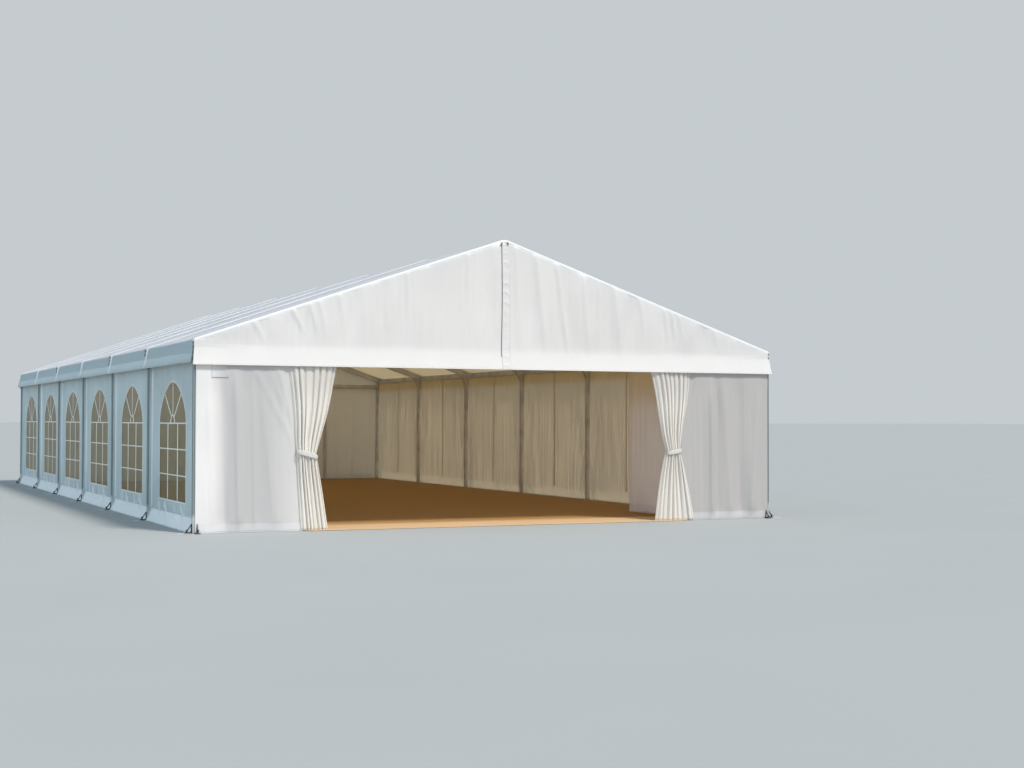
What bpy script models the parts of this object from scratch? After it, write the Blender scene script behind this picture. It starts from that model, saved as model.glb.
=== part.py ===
"""Clear-span frame marquee with an open front gable, at its real size in metres.

The origin is on the ground at the centre of the plan.  X runs across the gables, Y runs from the
open front gable at low Y to the closed back gable, and Z is up.  Portal frames stand a bay apart.
Roof sheets, walls and gables hang on them, each panel as a solid of its own.
"""
import math

import bmesh
import bpy
from mathutils import Matrix

# Overall form: legs stand on lines SPAN apart, and frames stand a bay apart
SPAN = 9.0
BAY = 3.0
BAY_COUNT = 6
EAVE_HEIGHT = 2.575
RIDGE_HEIGHT = 4.11

# Running clearance between solids that touch, and the thickness given to cloth
GAP = 0.0003
CLOTH = 0.008

# Aluminium profile of the legs and rafters, deep in the frame's plane and wide along the tent
PROFILE_DEPTH = 0.122
PROFILE_WIDTH = 0.068
EAVE_HAUNCH_DROP = 0.20
EAVE_HAUNCH_RUN = 0.30
RIDGE_HAUNCH_RUN = 0.25

# Foot of a leg: a plate with a gusset and a stake on its outer side
FOOT_REACH = 0.10
FOOT_WIDTH = 0.064
FOOT_THICKNESS = 0.012
GUSSET_HEIGHT = 0.13
GUSSET_THICKNESS = 0.012
STAKE_RADIUS = 0.012
STAKE_HEIGHT = 0.055
STAKE_INSET = 0.028
STAKE_SIDES = 12

# Bars that run from one frame to the next
EAVE_RAIL_WIDTH = 0.06
EAVE_RAIL_HEIGHT = 0.10
RIDGE_PURLIN_WIDTH = 0.06
RIDGE_PURLIN_HEIGHT = 0.08

# Roof sheet: the valance that hangs outside each eave
VALANCE_HEIGHT = 0.305
VALANCE_FLARE = 0.07

# Side walls, set in from the legs' outer faces, with a skirt that spreads on the ground
WALL_INSET = 0.056
SKIRT_HEIGHT = 0.20
SKIRT_FLARE = 0.060

# Arched window in each left wall, centred on the bay
WINDOW_WIDTH = 1.72
WINDOW_SILL = 0.365
WINDOW_SPRING = 1.455
WINDOW_APEX = 2.045
WINDOW_ARCH_POWER = 1.7
WINDOW_ARCH_STEPS = 10
FILM_THICKNESS = 0.003

# Gable frames: posts, a header rail, and the bar that the curtains hang from
POST_X = 3.0
POST_WIDTH = 0.06
POST_DEPTH = 0.05
HEADER_BELOW_SOFFIT = 0.068
HEADER_HEIGHT = 0.075
HEADER_DEPTH = 0.046
CURTAIN_BAR_END = 3.25
CURTAIN_BAR_REACH = 0.07
CURTAIN_BAR_HEIGHT = 0.025
BAR_OVERLAP = 0.005

# Gable cloth: flat above the bend, and a flap below it that leans outwards
GABLE_BEND_BELOW_EAVE = 0.115
GABLE_FLAP_HEIGHT = 0.225
GABLE_FLAP_LEAN = 0.088
GABLE_END_FLARE = 0.07
GABLE_SKIRT_HEIGHT = 0.12
GABLE_SKIRT_FLARE = 0.018

# Front curtains, gathered by a tie; each has its own centre line and widths
CURTAIN_DEPTH_TOP = 0.045
CURTAIN_DEPTH = 0.095
CURTAIN_TOP_WIDTH = 0.65
CURTAIN_BACK_CLEARANCE = 0.002
TIE_HEIGHT = 1.04
TIE_BAND = 0.07
TIE_WIDTH = 0.27
TIE_SWELL = 0.012
TIE_DEPTH = 0.085
LEFT_CURTAIN = {"top_x": -2.87, "tie_x": -2.94, "foot_x": -2.85, "foot_width": 0.42}
RIGHT_CURTAIN = {"top_x": 2.76, "tie_x": 2.80, "foot_x": 2.78, "foot_width": 0.62}
CURTAIN_RING_POINTS = 24
CURTAIN_RING_POWER = 2.6

# Sheet folded back into the hall beside the right post, on an arm
FOLD_LENGTH = 1.40
FOLD_SWING = 5.3
FOLD_FOOT = 0.06
FOLD_THICKNESS = 0.010
ARM_SIZE = 0.03
ARM_DROP = 0.015
ARM_OFFSET = 0.045

# Coir matting over the whole plan, carried out through the front opening
MAT_THICKNESS = 0.012
MAT_END_MARGIN = 0.035

WHITE_CLOTH = ((0.86, 0.87, 0.88, 1.0), 0.55, 0.0)
ROOF_CLOTH = ((0.84, 0.87, 0.93, 1.0), 0.50, 0.0)
CURTAIN_CLOTH = ((0.90, 0.87, 0.80, 1.0), 0.80, 0.0)
CLEAR_FILM = ((0.60, 0.62, 0.58, 0.35), 0.10, 0.0)
ALUMINIUM = ((0.55, 0.57, 0.60, 1.0), 0.35, 1.0)
COIR = ((0.55, 0.36, 0.20, 1.0), 0.95, 0.0)

half_span = SPAN / 2
half_length = BAY * BAY_COUNT / 2
leg_inner = half_span - PROFILE_DEPTH
roof_slope = (RIDGE_HEIGHT - EAVE_HEIGHT) / half_span
roof_angle = math.atan(roof_slope)
frame_stations = [-half_length + BAY * index for index in range(BAY_COUNT + 1)]
gable_plane = half_length + PROFILE_WIDTH / 2 + GAP
front_limit = gable_plane + CLOTH + GABLE_FLAP_LEAN
valance_hem = EAVE_HEIGHT - VALANCE_HEIGHT
gable_bend = EAVE_HEIGHT - GABLE_BEND_BELOW_EAVE
gable_hem = gable_bend - GABLE_FLAP_HEIGHT


def roof_height(x):
    """Height of the roof's top line at x."""
    return RIDGE_HEIGHT - roof_slope * abs(x)


def drop(thickness):
    """Vertical measure of a thickness taken square to the roof."""
    return thickness / math.cos(roof_angle)


def soffit(x):
    """Height of the rafter's underside at x."""
    return roof_height(x) - drop(PROFILE_DEPTH)


header_top = soffit(leg_inner) - HEADER_BELOW_SOFFIT
header_bottom = header_top - HEADER_HEIGHT


def remove_start_objects():
    for obj in list(bpy.data.objects):
        bpy.data.objects.remove(obj, do_unlink=True)


def new_collection(name):
    collection = bpy.data.collections.new(name)
    bpy.context.scene.collection.children.link(collection)
    return collection


def make_material(name, look):
    """Principled material from a colour, a roughness and a metallic value."""
    colour, roughness, metallic = look
    material = bpy.data.materials.new(name)
    material.use_nodes = True
    shader = material.node_tree.nodes["Principled BSDF"]
    shader.inputs["Base Color"].default_value = colour
    shader.inputs["Roughness"].default_value = roughness
    shader.inputs["Metallic"].default_value = metallic
    shader.inputs["Alpha"].default_value = colour[3]
    material.diffuse_color = colour
    return material


remove_start_objects()
parts = new_collection("frame_marquee")
helpers = new_collection("helpers")
materials = {
    "wall_cloth": make_material("wall_cloth", WHITE_CLOTH),
    "roof_cloth": make_material("roof_cloth", ROOF_CLOTH),
    "curtain_cloth": make_material("curtain_cloth", CURTAIN_CLOTH),
    "window_film": make_material("window_film", CLEAR_FILM),
    "frame_metal": make_material("frame_metal", ALUMINIUM),
    "matting": make_material("matting", COIR),
}


def add_part(obj, material_name):
    """Put a finished piece in the object's own collection with its material."""
    parts.objects.link(obj)
    obj.data.materials.clear()
    obj.data.materials.append(materials[material_name])
    return obj


def add_helper(obj):
    """Put a cutter or a joining shape where it is neither rendered nor counted."""
    helpers.objects.link(obj)
    obj.hide_render = True
    obj.display_type = "WIRE"
    return obj


def outline_solid(name, points, thickness, facing):
    """Flat outline of (across, up) points, given a thickness that is centred on its plane.

    Facing "front" draws it in X and Z, and facing "side" draws it in Y and Z.
    """
    curve = bpy.data.curves.new(name, "CURVE")
    curve.dimensions = "2D"
    curve.fill_mode = "BOTH"
    curve.extrude = thickness / 2
    spline = curve.splines.new("POLY")
    spline.points.add(len(points) - 1)
    for slot, (across, up) in zip(spline.points, points):
        slot.co = (across, up, 0.0, 1.0)
    spline.use_cyclic_u = True
    flat = bpy.data.objects.new(name + "_outline", curve)
    bpy.context.scene.collection.objects.link(flat)
    graph = bpy.context.evaluated_depsgraph_get()
    mesh = bpy.data.meshes.new_from_object(flat.evaluated_get(graph))
    bpy.data.objects.remove(flat, do_unlink=True)
    work = bmesh.new()
    work.from_mesh(mesh)
    bmesh.ops.remove_doubles(work, verts=work.verts, dist=1e-5)
    turn = Matrix.Rotation(math.radians(90), 4, "X")
    if facing == "side":
        turn = Matrix.Rotation(math.radians(90), 4, "Z") @ turn
    bmesh.ops.transform(work, matrix=turn, verts=work.verts)
    bmesh.ops.recalc_face_normals(work, faces=work.faces)
    work.to_mesh(mesh)
    work.free()
    return bpy.data.objects.new(name, mesh)


def box_solids(name, boxes):
    """Boxes as one mesh; each is its centre, its size and its turn about Z."""
    work = bmesh.new()
    for centre, size, swing in boxes:
        place = Matrix.Translation(centre) @ Matrix.Rotation(swing, 4, "Z")
        bmesh.ops.create_cube(work, size=1.0, matrix=place @ Matrix.Diagonal((*size, 1.0)))
    mesh = bpy.data.meshes.new(name)
    work.to_mesh(mesh)
    work.free()
    return bpy.data.objects.new(name, mesh)


def loft_solid(name, rings):
    """Closed skin through rings of as many points each, capped at both ends."""
    work = bmesh.new()
    rows = [[work.verts.new(point) for point in ring] for ring in rings]
    count = len(rows[0])
    for low, high in zip(rows, rows[1:]):
        for index in range(count):
            after = (index + 1) % count
            work.faces.new((low[index], low[after], high[after], high[index]))
    work.faces.new(rows[0])
    work.faces.new(rows[-1])
    bmesh.ops.recalc_face_normals(work, faces=work.faces)
    mesh = bpy.data.meshes.new(name)
    work.to_mesh(mesh)
    work.free()
    return bpy.data.objects.new(name, mesh)


def combine(obj, other, operation):
    """Join a helper to a piece, or cut it out of the piece."""
    add_helper(other)
    modifier = obj.modifiers.new(other.name, "BOOLEAN")
    modifier.operation = operation
    modifier.object = other
    modifier.solver = "EXACT"


def mirrored(points):
    return [(-across, up) for across, up in points]


def strip_inside(points, thickness):
    """Points on the right-hand side of a line, a thickness away, with ends cut level."""
    inside = []
    normals = []
    for (x0, z0), (x1, z1) in zip(points, points[1:]):
        length = math.hypot(x1 - x0, z1 - z0)
        normals.append(((z1 - z0) / length, (x0 - x1) / length))
    for index, (x, z) in enumerate(points):
        if index == 0 or index == len(points) - 1:
            normal = normals[0] if index == 0 else normals[-1]
            inside.append((x + thickness / normal[0], z))
            continue
        before, after = normals[index - 1], normals[index]
        scale = thickness / (1.0 + before[0] * after[0] + before[1] * after[1])
        inside.append((x + (before[0] + after[0]) * scale, z + (before[1] + after[1]) * scale))
    return inside


def strip_outline(points, thickness):
    """Closed outline of a cloth of even thickness whose outer line is given."""
    return points + strip_inside(points, thickness)[::-1]


def bay_panel(name, outline, bay, material_name):
    """Cloth outline in X and Z that fills the length of a bay between two frames."""
    width = BAY - PROFILE_WIDTH - 2 * GAP
    panel = outline_solid(name, outline, width, "front")
    shift = frame_stations[bay] + BAY / 2
    panel.data.transform(Matrix.Translation((0.0, shift, 0.0)))
    return add_part(panel, material_name)


# Roof line from one valance hem to the other, seen from the front
roof_line = [
    (-half_span - VALANCE_FLARE, valance_hem),
    (-half_span, EAVE_HEIGHT),
    (0.0, RIDGE_HEIGHT),
    (half_span, EAVE_HEIGHT),
    (half_span + VALANCE_FLARE, valance_hem),
]
roof_inside = strip_inside(roof_line, CLOTH)
eave_corner_x, eave_corner_z = roof_inside[3]
rail_outer = eave_corner_x - GAP
rail_top = eave_corner_z - GAP
rail_bottom = rail_top - EAVE_RAIL_HEIGHT
wall_outer = half_span - WALL_INSET


def frame_outline(has_haunch):
    """Half portal from the ridge down, mirrored into one closed outline."""
    outer = [(half_span, 0.0), (half_span, EAVE_HEIGHT)]
    inner = [(RIDGE_HAUNCH_RUN, soffit(RIDGE_HAUNCH_RUN))]
    if has_haunch:
        inner.append((leg_inner - EAVE_HAUNCH_RUN, soffit(leg_inner - EAVE_HAUNCH_RUN)))
        inner.append((leg_inner, soffit(leg_inner) - EAVE_HAUNCH_DROP))
    else:
        inner.append((leg_inner, soffit(leg_inner)))
    inner.append((leg_inner, 0.0))
    over = mirrored(outer) + [(0.0, RIDGE_HEIGHT)] + outer[::-1]
    return over + inner[::-1] + mirrored(inner)


def foot_plates(name, station):
    length = PROFILE_DEPTH / 2 + FOOT_REACH
    middle = half_span + FOOT_REACH - length / 2
    size = (length, FOOT_WIDTH, FOOT_THICKNESS)
    boxes = []
    for side in (-1, 1):
        boxes.append(((side * middle, station, FOOT_THICKNESS / 2), size, 0.0))
    return box_solids(name, boxes)


def foot_gusset(name, station, side):
    """Triangular plate between a leg's outer face and its foot plate."""
    root = half_span - PROFILE_DEPTH / 4
    low = FOOT_THICKNESS / 2
    toe = half_span + FOOT_REACH - 2 * STAKE_INSET
    points = [
        (side * root, low),
        (side * toe, low),
        (side * toe, FOOT_THICKNESS + GUSSET_THICKNESS),
        (side * (half_span + GUSSET_THICKNESS), GUSSET_HEIGHT),
        (side * root, GUSSET_HEIGHT),
    ]
    gusset = outline_solid(name, points, GUSSET_THICKNESS, "front")
    gusset.data.transform(Matrix.Translation((0.0, station, 0.0)))
    return gusset


def foot_stakes(name, station):
    """Round stake heads that stand through the outer end of the foot plates."""
    low = FOOT_THICKNESS / 2
    height = STAKE_HEIGHT - low
    work = bmesh.new()
    for side in (-1, 1):
        x = side * (half_span + FOOT_REACH - STAKE_INSET)
        place = Matrix.Translation((x, station, low + height / 2))
        bmesh.ops.create_cone(
            work, cap_ends=True, segments=STAKE_SIDES, radius1=STAKE_RADIUS, radius2=STAKE_RADIUS,
            depth=height, matrix=place)
    mesh = bpy.data.meshes.new(name)
    work.to_mesh(mesh)
    work.free()
    return bpy.data.objects.new(name, mesh)


def bay_bars(name, station):
    """Eave rails and ridge purlin that a frame carries to the next one."""
    start = station
    end = station + BAY - PROFILE_WIDTH / 2 - GAP
    middle = (start + end) / 2
    length = end - start
    ridge_top = roof_height(RIDGE_PURLIN_WIDTH / 2) - drop(CLOTH + GAP)
    ridge_centre = (0.0, middle, ridge_top - RIDGE_PURLIN_HEIGHT / 2)
    boxes = [(ridge_centre, (RIDGE_PURLIN_WIDTH, length, RIDGE_PURLIN_HEIGHT), 0.0)]
    rail_centre_x = rail_outer - EAVE_RAIL_WIDTH / 2
    rail_centre_z = rail_top - EAVE_RAIL_HEIGHT / 2
    for side in (-1, 1):
        centre = (side * rail_centre_x, middle, rail_centre_z)
        boxes.append((centre, (EAVE_RAIL_WIDTH, length, EAVE_RAIL_HEIGHT), 0.0))
    return box_solids(name, boxes)


def build_portal_frames():
    last = len(frame_stations) - 1
    for index, station in enumerate(frame_stations):
        name = "portal_frame_%d" % (index + 1)
        outline = frame_outline(has_haunch=0 < index < last)
        frame = outline_solid(name, outline, PROFILE_WIDTH, "front")
        frame.data.transform(Matrix.Translation((0.0, station, 0.0)))
        add_part(frame, "frame_metal")
        combine(frame, foot_plates("plates_%d" % index, station), "UNION")
        combine(frame, foot_gusset("left_gusset_%d" % index, station, -1), "UNION")
        combine(frame, foot_gusset("right_gusset_%d" % index, station, 1), "UNION")
        combine(frame, foot_stakes("stakes_%d" % index, station), "UNION")
        if index < last:
            combine(frame, bay_bars("bars_%d" % index, station), "UNION")


def build_roof_sheets():
    for bay in range(BAY_COUNT):
        bay_panel("roof_sheet_%d" % (bay + 1), strip_outline(roof_line, CLOTH), bay, "roof_cloth")


def window_outline(inset):
    """Arched outline about the bay's middle, drawn in by a small inset."""
    half = WINDOW_WIDTH / 2 - inset
    rise = WINDOW_APEX - WINDOW_SPRING - inset
    points = [(-half, WINDOW_SILL + inset), (half, WINDOW_SILL + inset)]
    steps = 2 * WINDOW_ARCH_STEPS
    power = 2 / WINDOW_ARCH_POWER
    for step in range(steps + 1):
        angle = math.pi * step / steps
        across = math.copysign(abs(math.cos(angle)) ** power, math.cos(angle))
        if step == steps // 2:
            across = 0.0
        points.append((half * across, WINDOW_SPRING + rise * math.sin(angle) ** power))
    return points


def build_side_walls():
    wall_line = [
        (-wall_outer - SKIRT_FLARE, 0.0),
        (-wall_outer, SKIRT_HEIGHT),
        (-wall_outer, rail_bottom - GAP),
    ]
    outline = strip_outline(wall_line, CLOTH)
    for bay in range(BAY_COUNT):
        middle = frame_stations[bay] + BAY / 2
        number = bay + 1
        left = bay_panel("left_wall_%d" % number, outline, bay, "wall_cloth")
        opening = outline_solid("window_cut_%d" % number, window_outline(0.0), 4 * CLOTH, "side")
        opening.data.transform(Matrix.Translation((CLOTH / 2 - wall_outer, middle, 0.0)))
        combine(left, opening, "DIFFERENCE")
        film = outline_solid(
            "left_window_%d" % number, window_outline(GAP), FILM_THICKNESS, "side")
        film.data.transform(Matrix.Translation((CLOTH / 2 - wall_outer, middle, 0.0)))
        add_part(film, "window_film")
        bay_panel("right_wall_%d" % number, mirrored(outline), bay, "wall_cloth")


def gable_half(name, side, end):
    """Half of a gable cloth: flat up to the roof line, with a leaning flap below the bend."""
    face = end * (gable_plane + CLOTH)
    hem = end * front_limit
    join = side * GAP / 2
    corner = side * half_span
    points = [
        (join, hem, gable_hem),
        (side * (half_span + GABLE_END_FLARE), hem, gable_hem),
        (join, face, gable_bend),
        (corner, face, gable_bend),
        (corner, face, EAVE_HEIGHT),
        (join, face, roof_height(join)),
    ]
    work = bmesh.new()
    verts = [work.verts.new(point) for point in points]
    work.faces.new((verts[0], verts[1], verts[3], verts[2]))
    work.faces.new((verts[2], verts[3], verts[4], verts[5]))
    bmesh.ops.recalc_face_normals(work, faces=work.faces)
    work.faces.ensure_lookup_table()
    if work.faces[1].normal.y * end < 0:
        bmesh.ops.reverse_faces(work, faces=work.faces)
    mesh = bpy.data.meshes.new(name)
    work.to_mesh(mesh)
    work.free()
    half = bpy.data.objects.new(name, mesh)
    shell = half.modifiers.new("cloth", "SOLIDIFY")
    shell.thickness = CLOTH
    shell.offset = -1.0
    return add_part(half, "wall_cloth")


def build_gables():
    for end, place in ((-1, "front"), (1, "back")):
        gable_half(place + "_gable_left", -1, end)
        gable_half(place + "_gable_right", 1, end)


def gable_post(name, x, end):
    """Upright from the ground to the rafter, cut to the rafter's slope."""
    low, high = x - POST_WIDTH / 2, x + POST_WIDTH / 2
    top = [(high, min(soffit(high), soffit(RIDGE_HAUNCH_RUN)) - GAP)]
    top.append((low, min(soffit(low), soffit(RIDGE_HAUNCH_RUN)) - GAP))
    post = outline_solid(name, [(low, 0.0), (high, 0.0)] + top, POST_DEPTH, "front")
    post.data.transform(Matrix.Translation((0.0, end * half_length, 0.0)))
    return post


def header_rail(name, end):
    length = 2 * (leg_inner - GAP)
    centre = (0.0, end * half_length, header_bottom + HEADER_HEIGHT / 2)
    return box_solids(name, [(centre, (length, HEADER_DEPTH, HEADER_HEIGHT), 0.0)])


def curtain_bar(name):
    """Bar in front of the posts and just under the header."""
    back = half_length + HEADER_DEPTH / 2 - BAR_OVERLAP
    front = half_length + CURTAIN_BAR_REACH
    top = header_bottom + BAR_OVERLAP
    centre = (0.0, -(back + front) / 2, top - CURTAIN_BAR_HEIGHT / 2)
    size = (2 * CURTAIN_BAR_END, front - back, CURTAIN_BAR_HEIGHT)
    return box_solids(name, [(centre, size, 0.0)])


def fold_place(distance, height):
    """Point on the folded sheet's line, a distance in from the right post's back face."""
    swing = math.radians(FOLD_SWING)
    x = POST_X - ARM_OFFSET - distance * math.sin(swing)
    y = -half_length + POST_DEPTH / 2 + distance * math.cos(swing)
    return (x, y, height)


def fold_arm(name):
    """Arm that the folded sheet hangs from, fixed to the back of the header."""
    start = -POST_DEPTH / 2
    middle = (start + FOLD_LENGTH) / 2
    height = header_bottom - ARM_DROP + ARM_SIZE / 2
    size = (ARM_SIZE, FOLD_LENGTH - start, ARM_SIZE)
    return box_solids(name, [(fold_place(middle, height), size, math.radians(FOLD_SWING))])


def build_gable_frames():
    front = gable_post("front_gable_frame", -POST_X, -1)
    add_part(front, "frame_metal")
    combine(front, header_rail("front_header", -1), "UNION")
    combine(front, gable_post("front_right_post", POST_X, -1), "UNION")
    combine(front, curtain_bar("curtain_bar"), "UNION")
    combine(front, fold_arm("fold_arm"), "UNION")
    back = gable_post("back_gable_frame", -POST_X, 1)
    add_part(back, "frame_metal")
    combine(back, header_rail("back_header", 1), "UNION")
    combine(back, gable_post("back_middle_post", 0.0, 1), "UNION")
    combine(back, gable_post("back_right_post", POST_X, 1), "UNION")


def end_wall(name, low, high, end):
    """Plain cloth wall across a gable, between the uprights at low and high X."""
    plane = half_length + CLOTH / 2
    line = [
        (-plane - GABLE_SKIRT_FLARE, 0.0),
        (-plane, GABLE_SKIRT_HEIGHT),
        (-plane, header_bottom - GAP),
    ]
    outline = strip_outline(line, CLOTH)
    if end > 0:
        outline = mirrored(outline)
    wall = outline_solid(name, outline, high - low, "side")
    wall.data.transform(Matrix.Translation(((low + high) / 2, 0.0, 0.0)))
    return add_part(wall, "wall_cloth")


def build_end_walls():
    edge = leg_inner - GAP
    post_edge = POST_WIDTH / 2 + GAP
    end_wall("front_wall_left", -edge, -POST_X - post_edge, -1)
    end_wall("front_wall_right", POST_X + post_edge, edge, -1)
    end_wall("back_wall_left", -edge, -POST_X - post_edge, 1)
    end_wall("back_wall_middle_left", -POST_X + post_edge, -post_edge, 1)
    end_wall("back_wall_middle_right", post_edge, POST_X - post_edge, 1)
    end_wall("back_wall_right", POST_X + post_edge, edge, 1)


def curtain_ring(x, width, depth, height):
    """Rounded ring of a gathered curtain whose back stays just clear of the posts."""
    back = -half_length - POST_DEPTH / 2 - CURTAIN_BACK_CLEARANCE
    power = 2 / CURTAIN_RING_POWER
    ring = []
    for index in range(CURTAIN_RING_POINTS):
        angle = 2 * math.pi * index / CURTAIN_RING_POINTS
        across = math.copysign(abs(math.cos(angle)) ** power, math.cos(angle))
        along = math.copysign(abs(math.sin(angle)) ** power, math.sin(angle))
        ring.append((x + width / 2 * across, back - depth / 2 + depth / 2 * along, height))
    return ring


def blend(start, end, share):
    return start + (end - start) * share


def curtain(name, shape):
    """Curtain that narrows from its bar to the tie and spreads again to the floor."""
    top = header_bottom + BAR_OVERLAP - CURTAIN_BAR_HEIGHT - GAP
    tie_low, tie_high = TIE_HEIGHT - TIE_BAND / 2, TIE_HEIGHT + TIE_BAND / 2
    foot = MAT_THICKNESS + GAP
    rings = []
    for share in (0.0, 0.25, 0.5, 0.75, 1.0):
        x = blend(shape["foot_x"], shape["tie_x"], share)
        width = blend(shape["foot_width"], TIE_WIDTH, share ** 1.4)
        rings.append(curtain_ring(x, width, blend(CURTAIN_DEPTH, TIE_DEPTH, share),
                                  blend(foot, tie_low, share)))
    for height in (tie_low + TIE_SWELL, tie_high - TIE_SWELL):
        rings.append(curtain_ring(
            shape["tie_x"], TIE_WIDTH + 2 * TIE_SWELL, TIE_DEPTH + TIE_SWELL, height))
    for share in (0.0, 0.25, 0.5, 0.75, 0.9, 1.0):
        x = blend(shape["tie_x"], shape["top_x"], share)
        width = blend(TIE_WIDTH, CURTAIN_TOP_WIDTH, share ** 0.85)
        depth = blend(TIE_DEPTH, CURTAIN_DEPTH_TOP, share ** 3)
        rings.append(curtain_ring(x, width, depth, blend(tie_high, top, share)))
    return add_part(loft_solid(name, rings), "curtain_cloth")


def build_curtains():
    curtain("front_curtain_left", LEFT_CURTAIN)
    curtain("front_curtain_right", RIGHT_CURTAIN)


def build_folded_sheet():
    top = header_bottom - ARM_DROP - GAP
    length = FOLD_LENGTH - GAP
    height = top - FOLD_FOOT
    centre = fold_place(length / 2 + GAP, FOLD_FOOT + height / 2)
    size = (FOLD_THICKNESS, length - GAP, height)
    sheet = box_solids("folded_back_sheet", [(centre, size, math.radians(FOLD_SWING))])
    add_part(sheet, "wall_cloth")


def build_matting():
    """Matting inside the legs, with a tongue between the front posts."""
    side = leg_inner - GAP
    tongue = POST_X - POST_WIDTH / 2 - GAP
    end = half_length - MAT_END_MARGIN
    points = [
        (-side, -end), (-tongue, -end), (-tongue, -front_limit), (tongue, -front_limit),
        (tongue, -end), (side, -end), (side, end), (-side, end),
    ]
    mat = outline_solid("floor_matting", points, MAT_THICKNESS, "front")
    lay = Matrix.Translation((0.0, 0.0, MAT_THICKNESS / 2))
    mat.data.transform(lay @ Matrix.Rotation(math.radians(-90), 4, "X"))
    add_part(mat, "matting")


build_portal_frames()
build_roof_sheets()
build_side_walls()
build_gables()
build_gable_frames()
build_end_walls()
build_curtains()
build_folded_sheet()
build_matting()
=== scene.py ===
import math

import bpy
import numpy as np
from mathutils import Matrix, Vector


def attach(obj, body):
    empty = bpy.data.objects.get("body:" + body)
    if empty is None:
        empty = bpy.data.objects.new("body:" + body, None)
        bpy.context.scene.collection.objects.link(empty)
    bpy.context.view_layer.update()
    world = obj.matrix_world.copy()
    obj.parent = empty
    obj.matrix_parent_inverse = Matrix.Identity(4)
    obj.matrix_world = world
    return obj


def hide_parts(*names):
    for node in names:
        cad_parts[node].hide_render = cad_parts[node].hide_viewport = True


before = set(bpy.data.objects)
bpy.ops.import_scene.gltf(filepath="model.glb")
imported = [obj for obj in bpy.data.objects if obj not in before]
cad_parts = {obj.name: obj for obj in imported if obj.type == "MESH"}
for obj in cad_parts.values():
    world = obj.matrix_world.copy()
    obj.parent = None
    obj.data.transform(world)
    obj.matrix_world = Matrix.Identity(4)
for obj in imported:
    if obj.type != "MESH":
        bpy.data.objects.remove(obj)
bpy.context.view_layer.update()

# Main sizes of the frame, as in its CAD source
HALF_SPAN = 4.5
HALF_LENGTH = 9.0
BAY = 3.0
STATIONS = [-9.0, -6.0, -3.0, 0.0, 3.0, 6.0, 9.0]
BAYS = range(len(STATIONS) - 1)
EAVE = 2.575
RIDGE = 4.11
SLOPE = (RIDGE - EAVE) / HALF_SPAN
PROFILE_DEPTH = 0.122
PROFILE_HALF_WIDTH = 0.034
LEG_INNER = HALF_SPAN - PROFILE_DEPTH
WALL_X = 4.444
WALL_TOP = 2.468
POST_X = 3.0
HEADER_LOW = 2.3447
HEADER_HIGH = 2.4197
GABLE_Y = 9.0415
GABLE_BEND = 2.46
GABLE_HEM = 2.235
MAT_TOP = 0.012

# Creases below each window: places at the sill and at the ground, half width and height. They
# shift to and fro from bay to bay.
FANS = [(0.52, 0.20, 0.036, 0.030), (-0.50, -1.02, 0.040, 0.034), (-0.08, -0.34, 0.030, 0.020),
        (0.92, 0.74, 0.030, 0.020)]
FAN_SHIFT = 0.11
FAN_TURN = 2.3
WINDOW_SILL = 0.365

# Thicknesses of the soft goods, and decimals to which points that meet are equal
CLOTH = 0.0025
TAPE = 0.0018
WELD_DECIMALS = 6

# Seeds of the random folds
STRAP_SEED = 20
ROOF_SEED = 40
SKIRT_SEED = 310
LEFT_SEED = 500
RIGHT_SEED = 600
FILM_SEED = 700
GABLE_SEED = 800
JOIN_SEED = 880
END_SEED = 900
FOLDED_SEED = 960
MAT_SEED = 970


def ease(value, low, high):
    """0 below low, 1 above high and a smooth step between them."""
    share = np.clip((np.asarray(value, float) - low) / (high - low), 0.0, 1.0)
    return share * share * (3.0 - 2.0 * share)


def roof_height(x):
    """Height of the roof line."""
    return RIDGE - SLOPE * np.abs(x)


def soffit(x):
    """Height of the rafter's underside."""
    return roof_height(x) - PROFILE_DEPTH * math.hypot(1.0, SLOPE)


def folds(across, along, seed, shortest, longest, count=7):
    """Soft random folds that run along one direction and repeat across it, about -1 to 1."""
    random = np.random.RandomState(seed)
    total = np.zeros(np.broadcast(across, along).shape)
    for _ in range(count):
        length = shortest * (longest / shortest) ** random.uniform()
        phase, lean, bend, turn = random.uniform(-1.0, 1.0, 4)
        path = across + 0.05 * lean * along + 0.12 * length * np.sin(2.0 * along + 6.0 * turn)
        fade = 0.65 + 0.35 * np.sin(1.7 * along + 6.0 * bend)
        total = total + fade * np.sin(2.0 * math.pi * (path / length + phase))
    return total / math.sqrt(count)


def ridges(across, along, marks):
    """Single folds; each is its place at along 0 and at along 1, its half width and its height."""
    total = np.zeros(np.broadcast(across, along).shape)
    for start, end, width, height in marks:
        middle = start + (end - start) * along
        total = total + height * np.exp(-(((across - middle) / width) ** 2))
    return total


def bend_point(start, corner, end, share):
    """Point on the curve that rounds a corner between two points."""
    return start * (1 - share) ** 2 + 2 * corner * share * (1 - share) + end * share ** 2


def eased_path(corners, radii, spacing):
    """Line through 2-D corners, each inner one rounded by a curve, as points a spacing apart."""
    corners = [np.array(corner, float) for corner in corners]
    path = [corners[0]]

    def walk(end):
        first = path[-1]
        steps = max(1, int(round(np.linalg.norm(end - first) / spacing)))
        path.extend([first + (end - first) * step / steps for step in range(1, steps + 1)])

    for before, corner, after, radius in zip(corners, corners[1:], corners[2:], radii):
        start = corner + (before - corner) / np.linalg.norm(before - corner) * radius
        end = corner + (after - corner) / np.linalg.norm(after - corner) * radius
        walk(start)
        path.extend([bend_point(start, corner, end, share) for share in (0.25, 0.5, 0.75, 1.0)])
    walk(corners[-1])
    return np.array(path)


def spread(*values):
    """Points from coordinates that are spread to one shape."""
    return np.stack(np.broadcast_arrays(*values), -1)


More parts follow.
